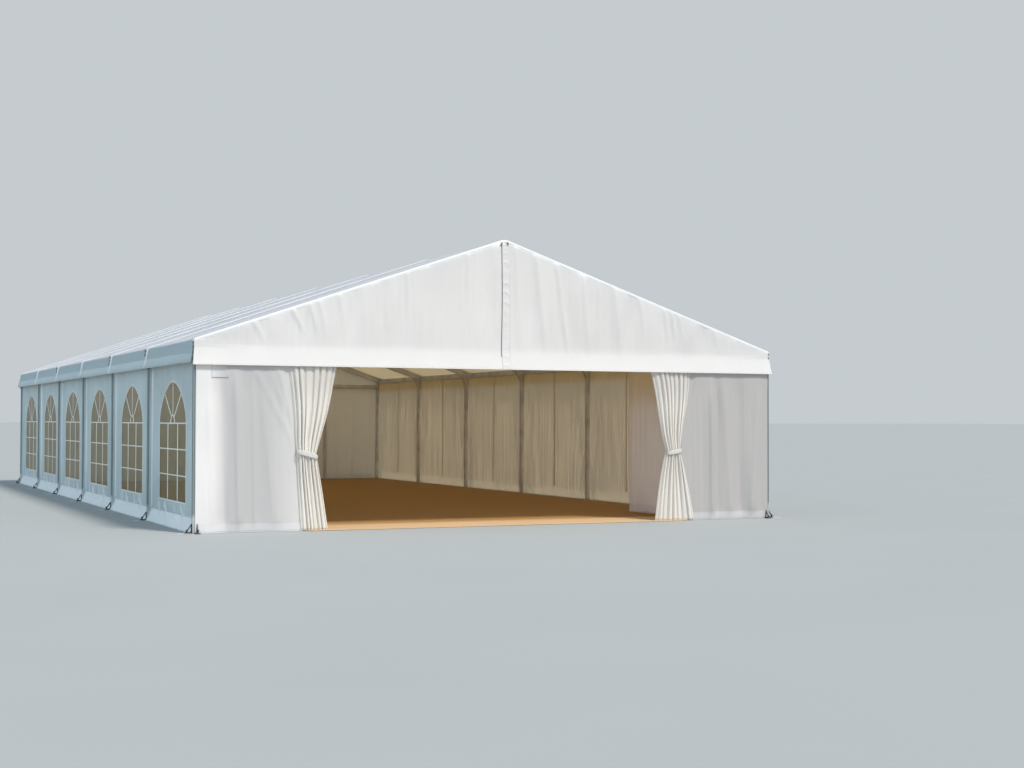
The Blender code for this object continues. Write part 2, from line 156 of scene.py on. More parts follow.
def ring_angles(sides):
    return np.linspace(0.0, 2.0 * math.pi, sides, endpoint=False)


def grid_quads(rows, columns, first=0):
    """Quads of a grid whose normals point along rows x columns."""
    index = np.arange(rows * columns).reshape(rows, columns) + first
    quads = [index[:-1, :-1], index[1:, :-1], index[1:, 1:], index[:-1, 1:]]
    return np.stack(quads, -1).reshape(-1, 4)


def weld(patches):
    """One skin from grids of points that share edges: its points and its quads."""
    points = np.concatenate([patch.reshape(-1, patch.shape[-1]) for patch in patches])
    quads, first = [], 0
    for patch in patches:
        rows, columns = patch.shape[:2]
        quads.append(grid_quads(rows, columns, first))
        first += rows * columns
    rounded = np.round(points, WELD_DECIMALS)
    _, kept, index = np.unique(rounded, axis=0, return_index=True, return_inverse=True)
    return points[kept], index.reshape(-1)[np.concatenate(quads)]


def skin_normals(points, quads):
    """Normal of each point, from the quads round it."""
    corners = points[quads]
    flat = np.cross(corners[:, 2] - corners[:, 0], corners[:, 3] - corners[:, 1])
    normals = np.zeros_like(points)
    for corner in range(4):
        np.add.at(normals, quads[:, corner], flat)
    return normals / np.maximum(np.linalg.norm(normals, axis=1, keepdims=True), 1e-12)


def add_object(name, data):
    """Object in the scene for a mesh, a light or a camera."""
    made = bpy.data.objects.new(name, data)
    bpy.context.scene.collection.objects.link(made)
    return made


class Shape:
    """Points and faces of a piece, gathered from cloth, tubes, blocks and swept sections."""

    def __init__(self):
        self.points = []
        self.faces = []
        self.sharp = []

    def add(self, points, faces, sharp=False):
        first = len(self.points)
        self.points += [tuple(float(value) for value in point) for point in points]
        self.faces += [tuple(int(index) + first for index in face) for face in faces]
        self.sharp += [sharp] * len(faces)

    def shell(self, points, quads, thickness=CLOTH):
        """Cloth of a thickness behind a skin, closed along its free edges."""
        count = len(points)
        back = points - skin_normals(points, quads) * thickness
        free = {}
        for quad in quads.tolist():
            for start, end in zip(quad, quad[1:] + quad[:1]):
                if (end, start) in free:
                    del free[(end, start)]
                else:
                    free[(start, end)] = (start, start + count, end + count, end)
        faces = quads.tolist() + (quads[:, ::-1] + count).tolist() + list(free.values())
        self.add(np.concatenate([points, back]), faces)

    def grid(self, grid, thickness=CLOTH, flip=False):
        """Cloth of a grid of points, its front along rows x columns; flip turns it over."""
        if flip:
            grid = grid.transpose(1, 0, 2)
        self.shell(grid.reshape(-1, 3), grid_quads(*grid.shape[:2]), thickness)

    def rings(self, rings, sharp=False):
        """Closed skin through rings of as many points each, capped at both ends."""
        rings = np.array(rings, float)
        count, sides = rings.shape[:2]
        faces = []
        for row in range(count - 1):
            for side in range(sides):
                after = (side + 1) % sides
                low, high = row * sides, (row + 1) * sides
                faces.append((low + side, low + after, high + after, high + side))
        faces.append(tuple(range(sides))[::-1])
        faces.append(tuple(range((count - 1) * sides, count * sides)))
        self.add(rings.reshape(-1, 3), faces, sharp)

    def tube(self, path, radius, sides=8):
        """Round tube along a path of points."""
        path = np.asarray(path, float)
        tangents = np.gradient(path, axis=0)
        tangents /= np.linalg.norm(tangents, axis=1, keepdims=True)
        turns = ring_angles(sides)
        across = np.cross(tangents[0], (0.0, 0.0, 1.0))
        if np.linalg.norm(across) < 0.1:
            across = np.cross(tangents[0], (0.0, 1.0, 0.0))
        rings = []
        for point, tangent in zip(path, tangents):
            across = across - tangent * np.dot(across, tangent)
            across /= np.linalg.norm(across)
            up = np.cross(tangent, across)
            circle = np.outer(np.cos(turns), across) + np.outer(np.sin(turns), up)
            rings.append(point + radius * circle)
        self.rings(rings)

    def sweep(self, section, places):
        """Section of (a, b) points carried through places, each an origin and the a and b axes."""
        rings = []
        for origin, along, across in places:
            origin, along, across = (np.array(item, float) for item in (origin, along, across))
            rings.append([origin + a * along + b * across for a, b in section])
        self.rings(rings, sharp=True)

    def block(self, centre, size, turn=None, chamfer=0.002):
        """Block with chamfered edges; turn is a rotation matrix."""
        half = np.array(size, float) / 2
        corner = chamfer * 0.9
        rings = []
        for level, inset in ((-1, 1), (-1, 0), (1, 0), (1, 1)):
            x, y = half[:2] - chamfer * inset
            z = level * (half[2] - chamfer * (1 - inset))
            ring = [(x, -y + corner), (x, y - corner), (x - corner, y), (corner - x, y),
                    (-x, y - corner), (-x, corner - y), (corner - x, -y), (x - corner, -y)]
            rings.append([(px, py, z) for px, py in ring])
        rings = np.array(rings)
        if turn is not None:
            rings = rings @ np.array(turn.to_3x3()).T
        self.rings(rings + np.array(centre, float), sharp=True)

    def tape(self, start, end, width, face, thickness=TAPE):
        """Flat strip between two points, its width square to face and its back on the line."""
        start, end, face = (np.array(item, float) for item in (start, end, face))
        spacing, crown = 0.08, 0.2
        steps = max(2, int(np.linalg.norm(end - start) / spacing))
        across = np.cross(face, end - start)
        across *= width / 2 / np.linalg.norm(across)
        middle = start + (end - start) * np.linspace(0.0, 1.0, steps + 1)[:, None] + face * thickness
        grid = [middle - across, middle + face * thickness * crown, middle + across]
        self.grid(np.stack(grid, 1), thickness)

    def piece(self, name, material, slot, smooth=True):
        """The finished piece as an object that rides on the body."""
        mesh = bpy.data.meshes.new(name)
        mesh.from_pydata(self.points, [], self.faces)
        soft = [smooth and not sharp for sharp in self.sharp]
        mesh.polygons.foreach_set("use_smooth", soft)
        mesh.materials.append(material)
        mesh.update()
        obj = add_object(name, mesh)
        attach(obj, "root")
        return obj


# Materials: small builders for node trees, then one function for each kind of surface
SOFT = "SMOOTHSTEP"
WHITE = (0.91, 0.912, 0.955)
BAND_WHITE = (0.87, 0.89, 0.96)
WARM_GLOW = (0.99, 0.885, 0.72)
CURTAIN_GLOW = (0.98, 0.88, 0.76)
SOIL = (0.46, 0.44, 0.34)
SPLASH_HEIGHT = 0.22


def feed(tree, made, inputs):
    """Gives inputs of a node their values or their links."""
    for key, value in inputs.items():
        if isinstance(value, bpy.types.NodeSocket):
            tree.links.new(value, made.inputs[key])
        else:
            made.inputs[key].default_value = value


def node(tree, kind, inputs=None, **settings):
    """Shader node with its settings, its inputs fed by name or number."""
    made = tree.nodes.new("ShaderNode" + kind)
    for key, value in settings.items():
        setattr(made, key, value)
    feed(tree, made, inputs or {})
    return made


def maths(tree, operation, first, second=0.0):
    return node(tree, "Math", {0: first, 1: second}, operation=operation).outputs[0]


def times(tree, first, second):
    return maths(tree, "MULTIPLY", first, second)


def axis_place(tree, axis):
    """One of the coordinates in metres in the shared frame."""
    return node(tree, "SeparateXYZ", {0: node(tree, "TexCoord").outputs["Object"]}).outputs[axis]


def object_place(tree, scale=(1.0, 1.0, 1.0)):
    """Coordinates in metres in the shared frame, stretched by a scale."""
    place = node(tree, "TexCoord").outputs["Object"]
    return node(tree, "Mapping", {"Vector": place, "Scale": scale}).outputs["Vector"]


def grain(tree, scale, detail, stretch=(1.0, 1.0, 1.0), rough=0.5):
    """Noise from 0 to 1; scale is in repeats a metre."""
    inputs = {"Vector": object_place(tree, stretch), "Scale": scale, "Detail": detail,
              "Roughness": rough}
    return node(tree, "TexNoise", inputs).outputs["Fac"]


def remap(tree, value, low, high, to_low=0.0, to_high=1.0, way="LINEAR"):
    """Value carried from one range to another and held at its ends."""
    inputs = {"Value": value, 1: low, 2: high, 3: to_low, 4: to_high}
    return node(tree, "MapRange", inputs, interpolation_type=way).outputs["Result"]


def mix_colour(tree, share, first, second, blend="MIX"):
    """Mix of two colours, each a link or three numbers."""
    ends = [(*colour, 1.0) if isinstance(colour, tuple) else colour for colour in (first, second)]
    inputs = {0: share, 6: ends[0], 7: ends[1]}
    return node(tree, "Mix", inputs, data_type="RGBA", blend_type=blend).outputs[2]


def bump(tree, height, distance, strength, under=None):
    """Normal raised by a height, on top of another normal if one is given."""
    inputs = {"Height": height, "Distance": distance, "Strength": strength}
    if under is not None:
        inputs["Normal"] = under
    return node(tree, "Bump", inputs).outputs["Normal"]


def new_material(name, roughness, metallic=0.0):
    """Material with its node tree and its main shader."""
    material = bpy.data.materials.new(name)
    material.use_nodes = True
    tree = material.node_tree
    shader = tree.nodes["Principled BSDF"]
    feed(tree, shader, {"Roughness": roughness, "Metallic": metallic})
    return material, tree, shader


def weave_height(tree, axes, pitch):
    """Plain weave seen square on, from two crossed waves along the named axes."""
    turn = 2.0 * math.pi / pitch
    waves = [maths(tree, "SINE", times(tree, axis_place(tree, axis), turn)) for axis in axes]
    return times(tree, *waves)


def cloth_material(name, colour, axes, glow=WARM_GLOW, roughness=0.5, through=0.40, soil=0.12,
                   streaks=0.5, crease=0.35, tint=None, pitch=0.003, deep=0.95, run=7.0):
    """Coated or woven cloth that lets some light through; tint paints its own base colour.

    Axes and pitch are those of the weave, deep is the shade of the darker cloth, and run is how
    many streaks there are to a metre.
    """
    material, tree, shader = new_material(name, roughness)
    deeper, paler = (tuple(min(1.0, value * shade) for value in colour) for shade in (deep, 1.03))
    base = mix_colour(tree, remap(tree, grain(tree, 0.7, 3.0), 0.35, 0.65), deeper, paler)
    runs = grain(tree, 1.0, 4.0, (run, run, 0.5))
    base = mix_colour(tree, remap(tree, runs, 0.52, 0.75, 0.0, streaks), base, deeper)
    if tint is not None:
        base = tint(tree, base)
    low = remap(tree, axis_place(tree, "Z"), 0.0, SPLASH_HEIGHT, 1.0, 0.0)
    splash = times(tree, low, grain(tree, 9.0, 6.0, (1.0, 1.0, 0.4)))
    base = mix_colour(tree, times(tree, splash, soil), base, SOIL)
    dull = remap(tree, grain(tree, 3.0, 5.0), 0.3, 0.7, roughness - 0.08, roughness + 0.1)
    normal = bump(tree, grain(tree, 6.0, 3.0, (2.0, 2.0, 0.6), 0.45), 0.006, crease)
    normal = bump(tree, weave_height(tree, axes, pitch), 0.0004, 0.3, normal)
    feed(tree, shader, {
        "Base Color": base, "Roughness": dull, "Normal": normal, "Sheen Weight": 0.08})
    light = node(tree, "BsdfTranslucent", {"Color": (*glow, 1.0), "Normal": normal})
    both = node(tree, "MixShader", {0: through, 1: shader.outputs[0], 2: light.outputs[0]})
    feed(tree, tree.nodes["Material Output"], {"Surface": both.outputs[0]})
    return material


def banded(height, colour, under=None, strength=1.0):
    """Tint that paints the doubled band along the foot of a wall."""
    def paint(tree, base):
        if under is not None:
            base = under(tree, base)
        level = axis_place(tree, "Z")
        share = remap(tree, level, height - 0.002, height + 0.002, strength, 0.0)
        return mix_colour(tree, share, base, colour)
    return paint


def painted_shade_above(low, high, shade):
    """Painted shade: cloth darkened by a shade colour, growing from one height up to another."""
    def paint(tree, base):
        dull = mix_colour(tree, 1.0, base, shade, "MULTIPLY")
        return mix_colour(tree, remap(tree, axis_place(tree, "Z"), low, high, way=SOFT), base, dull)
    return paint


def corner_painted_shade(tree, base):
    """Painted shade on the front corner walls: darker towards the front opening, and darker still on
    the right wall.
    """
    across = axis_place(tree, "X")
    left = remap(tree, across, -4.30, -3.95, way=SOFT)
    share = times(tree, left, remap(tree, across, -3.50, -3.10, 1.0, 0.55))
    base = mix_colour(tree, share, base, (0.618, 0.60, 0.61))
    return mix_colour(tree, remap(tree, across, 2.8, 2.9), base, (0.556, 0.531, 0.530))


def flap_tint(tree, base):
    """Whiter cloth along the flap of a gable, fading out above its bend."""
    share = remap(tree, axis_place(tree, "Z"), GABLE_BEND - 0.01, 2.62, 1.0, 0.0, SOFT)
    return mix_colour(tree, share, base, (0.94, 0.94, 0.98))


def roof_painted_shade(tree, base):
    """Painted shade on the roof: darker beside the rafters than in the hollow of each bay, and a
    bluer shade on the valances.
    """
    turn = times(tree, axis_place(tree, "Y"), 2.0 * math.pi / BAY)
    hollow = remap(tree, maths(tree, "COSINE", turn), 0.42, 1.03, 1.0, 0.0, SOFT)
    valance = remap(tree, axis_place(tree, "Z"), EAVE - 0.03, EAVE, 1.0, 0.0)
    base = mix_colour(tree, hollow, base, (0.76, 0.81, 0.97))
    return mix_colour(tree, valance, base, (0.632, 0.81, 0.945))


def crease_painted_light(tree, base):
    """Painted highlight on the near side of the creases below the windows, and painted shade on
    their far side.
    """
    run = maths(tree, "ADD", axis_place(tree, "Y"), HALF_LENGTH)
    bay = maths(tree, "FLOOR", maths(tree, "DIVIDE", run, BAY))
    shift = times(tree, maths(tree, "SINE", times(tree, bay, FAN_TURN)), FAN_SHIFT)
    across = maths(tree, "ADD", maths(tree, "FLOORED_MODULO", run, BAY), shift)
    height = axis_place(tree, "Z")
    shown = times(tree, remap(tree, height, 0.185, 0.20, way=SOFT),
                  remap(tree, height, 0.31, WINDOW_SILL, 1.0, 0.25, SOFT))
    for start, end, width, rise in FANS:
        line = remap(tree, height, 0.0, WINDOW_SILL, end + BAY / 2, start + BAY / 2)
        offset = maths(tree, "SUBTRACT", across, line)
        for centre, colour in ((-0.6, (1.0, 1.0, 1.0)), (1.5, (0.42, 0.54, 0.62))):
            away = maths(tree, "ABSOLUTE", maths(tree, "SUBTRACT", offset, centre * width))
            share = remap(tree, away, 0.2 * width, 1.2 * width, min(1.0, 34.0 * rise), 0.0, SOFT)
            base = mix_colour(tree, times(tree, share, shown), base, colour)
    return base


def film_material(name):
    """Clear flexible film with faint handling streaks; its olive colour, warmer brown higher up, is
    painted reflection of the surroundings seen in it and through it.
    """
    material, tree, shader = new_material(name, 0.1)
    streaks = grain(tree, 1.0, 5.0, (1.0, 9.0, 1.2))
    ripples = grain(tree, 1.0, 2.0, (1.0, 5.0, 1.6))
    # Olive colours painted for what is reflected in the film and seen through it.
    base = mix_colour(tree, remap(tree, streaks, 0.35, 0.65),
                      (0.086, 0.078, 0.012), (0.146, 0.130, 0.028))
    # Painted reflection: warmer brown from 1.2 m up.
    base = mix_colour(tree, remap(tree, axis_place(tree, "Z"), 1.2, 2.0), base, (0.33, 0.255, 0.155))
    feed(tree, shader, {
        "Base Color": base, "Roughness": remap(tree, streaks, 0.3, 0.7, 0.06, 0.2),
        "Normal": bump(tree, ripples, 0.02, 0.25), "Alpha": 0.66, "Specular IOR Level": 0.14,
        "IOR": 1.25})
    material.surface_render_method = "BLENDED"
    return material


def frame_outside_shade(tree, base):
    """Painted shade: darker metal on the outer faces of the frame's sides, above the feet."""
    outer = remap(tree, maths(tree, "ABSOLUTE", axis_place(tree, "X")), 4.456, 4.462)
    share = times(tree, outer, remap(tree, axis_place(tree, "Z"), 0.20, 0.26))
    return mix_colour(tree, share, base, (0.31, 0.345, 0.335))


def metal_material(name, colour, roughness, worn, metallic, tint=None):
    """Rolled or extruded metal with drawn lines along it and dull patches."""
    material, tree, shader = new_material(name, roughness, metallic)
    lines = grain(tree, 60.0, 3.0, (1.0, 1.0, 0.05))
    patches = grain(tree, 3.0, 5.0)
    base = mix_colour(tree, remap(tree, patches, 0.4, 0.7), colour, worn)
    base = mix_colour(tree, remap(tree, lines, 0.4, 0.6, 0.0, 0.25), base, worn)
    if tint is not None:
        base = tint(tree, base)
    dull = remap(tree, patches, 0.35, 0.7, roughness - 0.07, roughness + 0.12)
    feed(tree, shader, {
        "Base Color": base, "Roughness": dull, "Normal": bump(tree, lines, 0.0006, 0.25)})
    return material


def coir_material(name):
    """Coarse brown coir: short stiff fibres with lighter ends, and painted shade further into the
    hall.
    """
    material, tree, shader = new_material(name, 0.95)
    fibres = grain(tree, 170.0, 6.0, (1.0, 0.45, 1.0), 0.7)
    cells = node(tree, "TexVoronoi", {"Vector": object_place(tree), "Scale": 90.0})
    tufts = cells.outputs["Distance"]
    broad = grain(tree, 0.8, 4.0)
    base = mix_colour(tree, remap(tree, fibres, 0.35, 0.65), (0.53, 0.34, 0.19), (0.85, 0.61, 0.39))
    base = mix_colour(tree, remap(tree, tufts, 0.2, 0.7, 0.0, 0.35), base, (0.33, 0.20, 0.10))
    base = mix_colour(tree, remap(tree, broad, 0.35, 0.65, 0.0, 0.22), base, (0.64, 0.44, 0.27))
    # Painted shade over the matting inside the hall, behind the front opening.
    hall_shade = mix_colour(tree, 1.0, base, (0.64, 0.53, 0.35), "MULTIPLY")
    base = mix_colour(tree, remap(tree, axis_place(tree, "Y"), -8.45, -7.9, way=SOFT), base, hall_shade)
    normal = bump(tree, tufts, 0.004, 0.5, bump(tree, fibres, 0.003, 0.6))
    feed(tree, shader, {"Base Color": base, "Normal": normal, "Specular IOR Level": 0.2})
    return material


end_cloth = cloth_material("end_wall_cloth", WHITE, "XZ", tint=banded(0.125, BAND_WHITE))
gable_cloth = cloth_material("gable_cloth", WHITE, "XZ", streaks=0.25, tint=flap_tint)
# The front corner walls carry painted shade: darker towards the opening and on the right wall.
corner_cloth = cloth_material(
    "corner_wall_cloth", (0.97, 0.94, 0.945), "XZ", through=0.25,
    tint=banded(0.125, BAND_WHITE, corner_painted_shade, 0.35))
# The left walls' darker blue colour is painted shade, a shaded copy of the wall cloth; the crease
# tint adds painted highlights and shade.
left_cloth = cloth_material(
    "left_wall_cloth", (0.70, 0.815, 0.845), "YZ", (0.93, 0.95, 0.94), through=0.28, streaks=1.0,
    deep=0.86, run=13.0, tint=crease_painted_light)
# Painted shade along the top of the right walls, where the valance outside shades them.
right_cloth = cloth_material(
    "right_wall_cloth", (0.93, 0.91, 0.93), "YZ", through=0.45, streaks=0.8, deep=0.91, run=9.0,
    tint=banded(0.19, (0.96, 0.96, 0.97), painted_shade_above(2.20, 2.31, (0.98, 0.88, 0.62))))
# Painted shade over the upper part of the folded sheet.
sheet_cloth = cloth_material(
    "folded_sheet_cloth", (0.93, 0.91, 0.96), "YZ", (0.98, 0.89, 0.78),
    tint=banded(0.19, (0.84, 0.80, 0.88), painted_shade_above(1.55, 2.2, (0.80, 0.71, 0.49))))
# The roof cloth's lavender colour is painted shade and painted sky reflection; the cloth itself is
# white like the covers.
roof_cloth = cloth_material(
    "roof_cloth", (0.62, 0.69, 0.84), "XY", (0.99, 0.86, 0.62), roughness=0.45, soil=0.0,
    through=0.45, streaks=0.0, crease=0.12, tint=roof_painted_shade)
cover_cloth = cloth_material(
    "cover_cloth", (0.95, 0.95, 0.95), "XY", soil=0.0, streaks=0.0, crease=0.15, through=0.2)
# Painted shade over the tops of the curtains, under the gable flap.
curtain_cloth = cloth_material(
    "curtain_cloth", (0.94, 0.915, 0.875), "XZ", CURTAIN_GLOW, roughness=0.75,
    through=0.32, soil=0.1, pitch=0.002, tint=painted_shade_above(1.6, 2.15, (0.84, 0.83, 0.84)))
# The tie is a darker copy of the curtain cloth: painted shade.
tie_cloth = cloth_material(
    "curtain_tie_cloth", (0.74, 0.715, 0.675), "XZ", CURTAIN_GLOW, roughness=0.75,
    through=0.2, soil=0.0, pitch=0.002)
# The valance bands' grey-blue colour is painted shade.
band_cloth = cloth_material(
    "valance_band_cloth", (0.645, 0.735, 0.765), "YZ", through=0.12, soil=0.0, crease=0.12)
tape_cloth = cloth_material("tape_cloth", (1.0, 0.95, 0.89), "YZ", through=0.04, soil=0.05)
hem_cloth = cloth_material(
    "hem_band_cloth", (0.99, 0.99, 1.0), "YZ", through=0.05, soil=0.03, crease=0.15)
film = film_material("window_film")
aluminium = metal_material(
    "mill_aluminium", (0.74, 0.73, 0.72), 0.45, (0.56, 0.55, 0.54), 0.55, frame_outside_shade)
steel = metal_material("dark_steel", (0.045, 0.047, 0.05), 0.5, (0.11, 0.10, 0.09), 0.6)
fitting = metal_material("dull_fitting", (0.16, 0.155, 0.15), 0.45, (0.30, 0.29, 0.28), 0.7)
coir = coir_material("coir_matting")


# Frame: extruded profiles with keder grooves, knees, rails, feet and stakes
PLATE_OUT = PROFILE_HALF_WIDTH + 0.0015
RIDGE_REACH = 0.25
HEADER_MIDDLE = 0.5 * (HEADER_LOW + HEADER_HIGH)
CURTAIN_BAR_HALF = 3.25
CURTAIN_BAR_Y = -9.0562
CURTAIN_BAR_Z = 2.3372
ARM_Z = 2.3449
ARM_ENDS = (-0.02, 1.40)
FOLD_SWING = math.radians(5.3)


def profile_section(depth, half_width, lip=0.012, slot=0.016, groove=0.010, chamfer=0.002):
    """Outline of an extrusion from its outer face (a = 0) to its inner one, with grooves."""
    floor = half_width - groove
    side = [(groove, slot / 2), (0.0, slot / 2), (0.0, half_width - chamfer), (chamfer, half_width)]
    for start in (lip, depth - lip - slot):
        end = start + slot
        side += [(start, half_width), (start, floor), (end, floor), (end, half_width)]
    side += [(depth - chamfer, half_width), (depth, half_width - chamfer), (depth, slot / 2),
             (depth - groove, slot / 2)]
    return side + [(a, -b) for a, b in side[::-1]]


def bar(shape, start, end, outward, depth, half_width, cut=0.0):
    """Grooved bar from start to end; outward points from its inner face to its outer one.

    Its outer face is centred on the line, and cut slopes its end across its width.
    """
    start, end, outward = (np.array(item, float) for item in (start, end, outward))
    along = (end - start) / np.linalg.norm(end - start)
    across = np.cross(along, outward)
    small = min(depth, 2 * half_width) / 8
    section = profile_section(depth, half_width, small, small, small * 0.6, small * 0.2)
    shape.sweep(section, [(start, -outward, across), (end, -outward, across + along * cut)])


def portal_profile(shape, station):
    """Legs and rafters in one sweep, mitred at the eaves and at the ridge."""
    section = profile_section(PROFILE_DEPTH, PROFILE_HALF_WIDTH)
    inner = (soffit(LEG_INNER) - EAVE) / PROFILE_DEPTH
    ridge = -math.hypot(1.0, SLOPE)
    places = [((HALF_SPAN, 0.0), (-1.0, 0.0)), ((HALF_SPAN, EAVE), (-1.0, inner)),
              ((0.0, RIDGE), (0.0, ridge)), ((-HALF_SPAN, EAVE), (1.0, inner)),
              ((-HALF_SPAN, 0.0), (1.0, 0.0))]
    shape.sweep(section, [((x, station, z), (ax, 0.0, az), (0.0, 1.0, 0.0))
                          for (x, z), (ax, az) in places])


def plate(shape, outline, y, half):
    """Flat plate of an (x, z) outline, half as thick on each side of y."""
    shape.rings([[(x, y + offset, z) for x, z in outline] for offset in (-half, half)], sharp=True)


def knee(shape, station, side):
    """Curved haunch between a leg and its rafter: a web with a flange along its edge."""
    run, drop, root = 0.13, 0.17, 0.02
    high = np.array([LEG_INNER - run, soffit(LEG_INNER - run)])
    low = np.array([LEG_INNER, soffit(LEG_INNER) - drop])
    corner = np.array([LEG_INNER - 0.06, soffit(LEG_INNER - 0.06) - 0.045])
    curve = [bend_point(high, corner, low, share) for share in np.linspace(0.0, 1.0, 11)]
    inside = [low + (root, 0.0), (LEG_INNER + root, soffit(LEG_INNER) + 0.01), high + (0.0, root)]
    plate(shape, [(side * x, z) for x, z in curve + inside], station, 0.022)
    near, far = station - 0.031, station + 0.031
    flange = []
    for x, z in curve:
        back_x, back_z = side * (x + 0.004), z + 0.005
        flange.append([(side * x, near, z), (side * x, far, z), (back_x, far, back_z),
                       (back_x, near, back_z)])
    shape.rings(flange, sharp=True)


def joint_plates(shape, station, side, facings):
    """Bolted plates on the faces of a frame, inside the line of the walls."""
    turn = Matrix.Rotation(side * math.atan(SLOPE), 4, "Y")
    leg_x, rafter_x, above = LEG_INNER + 0.022, LEG_INNER - 0.20, 0.026
    bolts = [(leg_x, z) for z in (2.19, 2.27, 2.35, 2.42)]
    for x in (LEG_INNER - 0.07, LEG_INNER - 0.15, LEG_INNER - 0.23, LEG_INNER - 0.31):
        bolts.append((x, soffit(x) + above))
    for facing in facings:
        y = station + facing * PLATE_OUT
        shape.block((side * leg_x, y, 2.30), (0.034, 0.004, 0.30), chamfer=0.001)
        middle = (side * rafter_x, y, soffit(rafter_x) + above)
        shape.block(middle, (0.36, 0.004, 0.034), turn, 0.001)
        for x, z in bolts:
            bolt(shape, (side * x, y, z), facing)


def bolt(shape, centre, facing, radius=0.009):
    """Hexagonal bolt head on a face that looks along Y."""
    x, y, z = centre
    turns = ring_angles(6)
    rings = []
    for out, size in ((0.001, radius), (0.006, radius), (0.008, radius * 0.75)):
        rings.append(spread(x + size * np.cos(turns), y + facing * out, z + size * np.sin(turns)))
    shape.rings(rings, sharp=True)


def ridge_plate(shape, station, facing):
    """Bolted plate over the joint of the two rafters."""
    y = station + facing * PLATE_OUT
    low = soffit(RIDGE_REACH)
    outline = [(-RIDGE_REACH, low), (RIDGE_REACH, low), (RIDGE_REACH, low + 0.05), (0.0, low + 0.13),
               (-RIDGE_REACH, low + 0.05)]
    plate(shape, outline, y, 0.002)
    for x in (-0.2, -0.1, 0.1, 0.2):
        bolt(shape, (x, y, low + 0.022), facing)


def ridge_haunch(shape, station):
    """Filled corner under the ridge of a frame."""
    low = soffit(RIDGE_REACH)
    outline = [(-RIDGE_REACH, low), (RIDGE_REACH, low), (0.0, soffit(0.0) + 0.01)]
    plate(shape, outline, station, 0.03)


def bay_rails(shape, station):
    """Eave rails and ridge purlin from a frame to the next one."""
    start = station + PROFILE_HALF_WIDTH
    end = station + BAY - PROFILE_HALF_WIDTH - 0.0003
    rail_x, rail_z, purlin_z = 4.4914, 2.5187, 4.0910
    bracket_x, bracket_z = 4.405, 2.505
    for side in (-1, 1):
        outer = side * rail_x
        bar(shape, (outer, start, rail_z), (outer, end, rail_z), (side, 0.0, 0.0), 0.06, 0.05)
        for y in (start + 0.002, end - 0.002):
            shape.block((side * bracket_x, y, bracket_z), (0.05, 0.005, 0.11), chamfer=0.001)
    bar(shape, (0.0, start, purlin_z), (0.0, end, purlin_z), (0.0, 0.0, 1.0), 0.08, 0.03)


def foot(shape, x, y, direction):
    """Base plate, open triangular bracket and stake on one side of a leg."""
    reach = np.array([*direction, 0.0], float)
    across = np.array([-direction[1], direction[0], 0.0], float)
    origin = np.array([x, y, 0.0])
    turn = Matrix.Rotation(math.atan2(direction[1], direction[0]), 4, "Z")
    thickness, shift, stake_out = 0.012, 0.02, 0.072
    base = origin + reach * shift + (0.0, 0.0, thickness / 2)
    shape.block(base, (0.158, 0.064, thickness), turn, 0.003)
    outer = [(0.001, 0.012), (0.090, 0.012), (0.012, 0.130), (0.001, 0.130)]
    inner = [(0.014, 0.024), (0.064, 0.024), (0.016, 0.100), (0.014, 0.100)]
    points = [origin + reach * a + across * offset + (0.0, 0.0, z)
              for offset in (-thickness / 2, thickness / 2) for a, z in outer + inner]
    faces = []
    for index in range(4):
        after = (index + 1) % 4
        faces.append((index, after, 4 + after, 4 + index))
        faces.append((8 + index, 12 + index, 12 + after, 8 + after))
        faces.append((index, 8 + index, 8 + after, after))
        faces.append((4 + index, 4 + after, 12 + after, 12 + index))
    shape.add(points, faces, sharp=True)
    stake = [(0.006, 0.009), (0.040, 0.009), (0.042, 0.015), (0.050, 0.015), (0.055, 0.009)]
    turns = ring_angles(12)
    shape.rings([spread(radius * np.cos(turns), radius * np.sin(turns), z)
                 + origin + reach * stake_out for z, radius in stake])


def build_frames():
    """Seven portals; out is the way that an end frame looks, and 0 for the others."""
    for number, station in enumerate(STATIONS, 1):
        out = {1: -1, len(STATIONS): 1}.get(number, 0)
        facings = [facing for facing in (-1, 1) if facing != out]
        shape = Shape()
        portal_profile(shape, station)
        ridge_haunch(shape, station)
        for facing in facings:
            ridge_plate(shape, station, facing)
        for side in (-1, 1):
            joint_plates(shape, station, side, facings)
            if not out:
                knee(shape, station, side)
        if number < len(STATIONS):
            bay_rails(shape, station)
        portal = shape.piece("portal_profile_%d" % number, aluminium, "frame_metal")
        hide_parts("portal_frame_%d" % number)
        feet = Shape()
        for side in (-1, 1):
            foot(feet, side * HALF_SPAN, station, (side, 0.0))
            if out:
                foot(feet, side * (HALF_SPAN - 0.06), station + out * 0.034, (0.0, out))
        feet.piece("leg_feet_%d" % number, steel, "frame_metal")


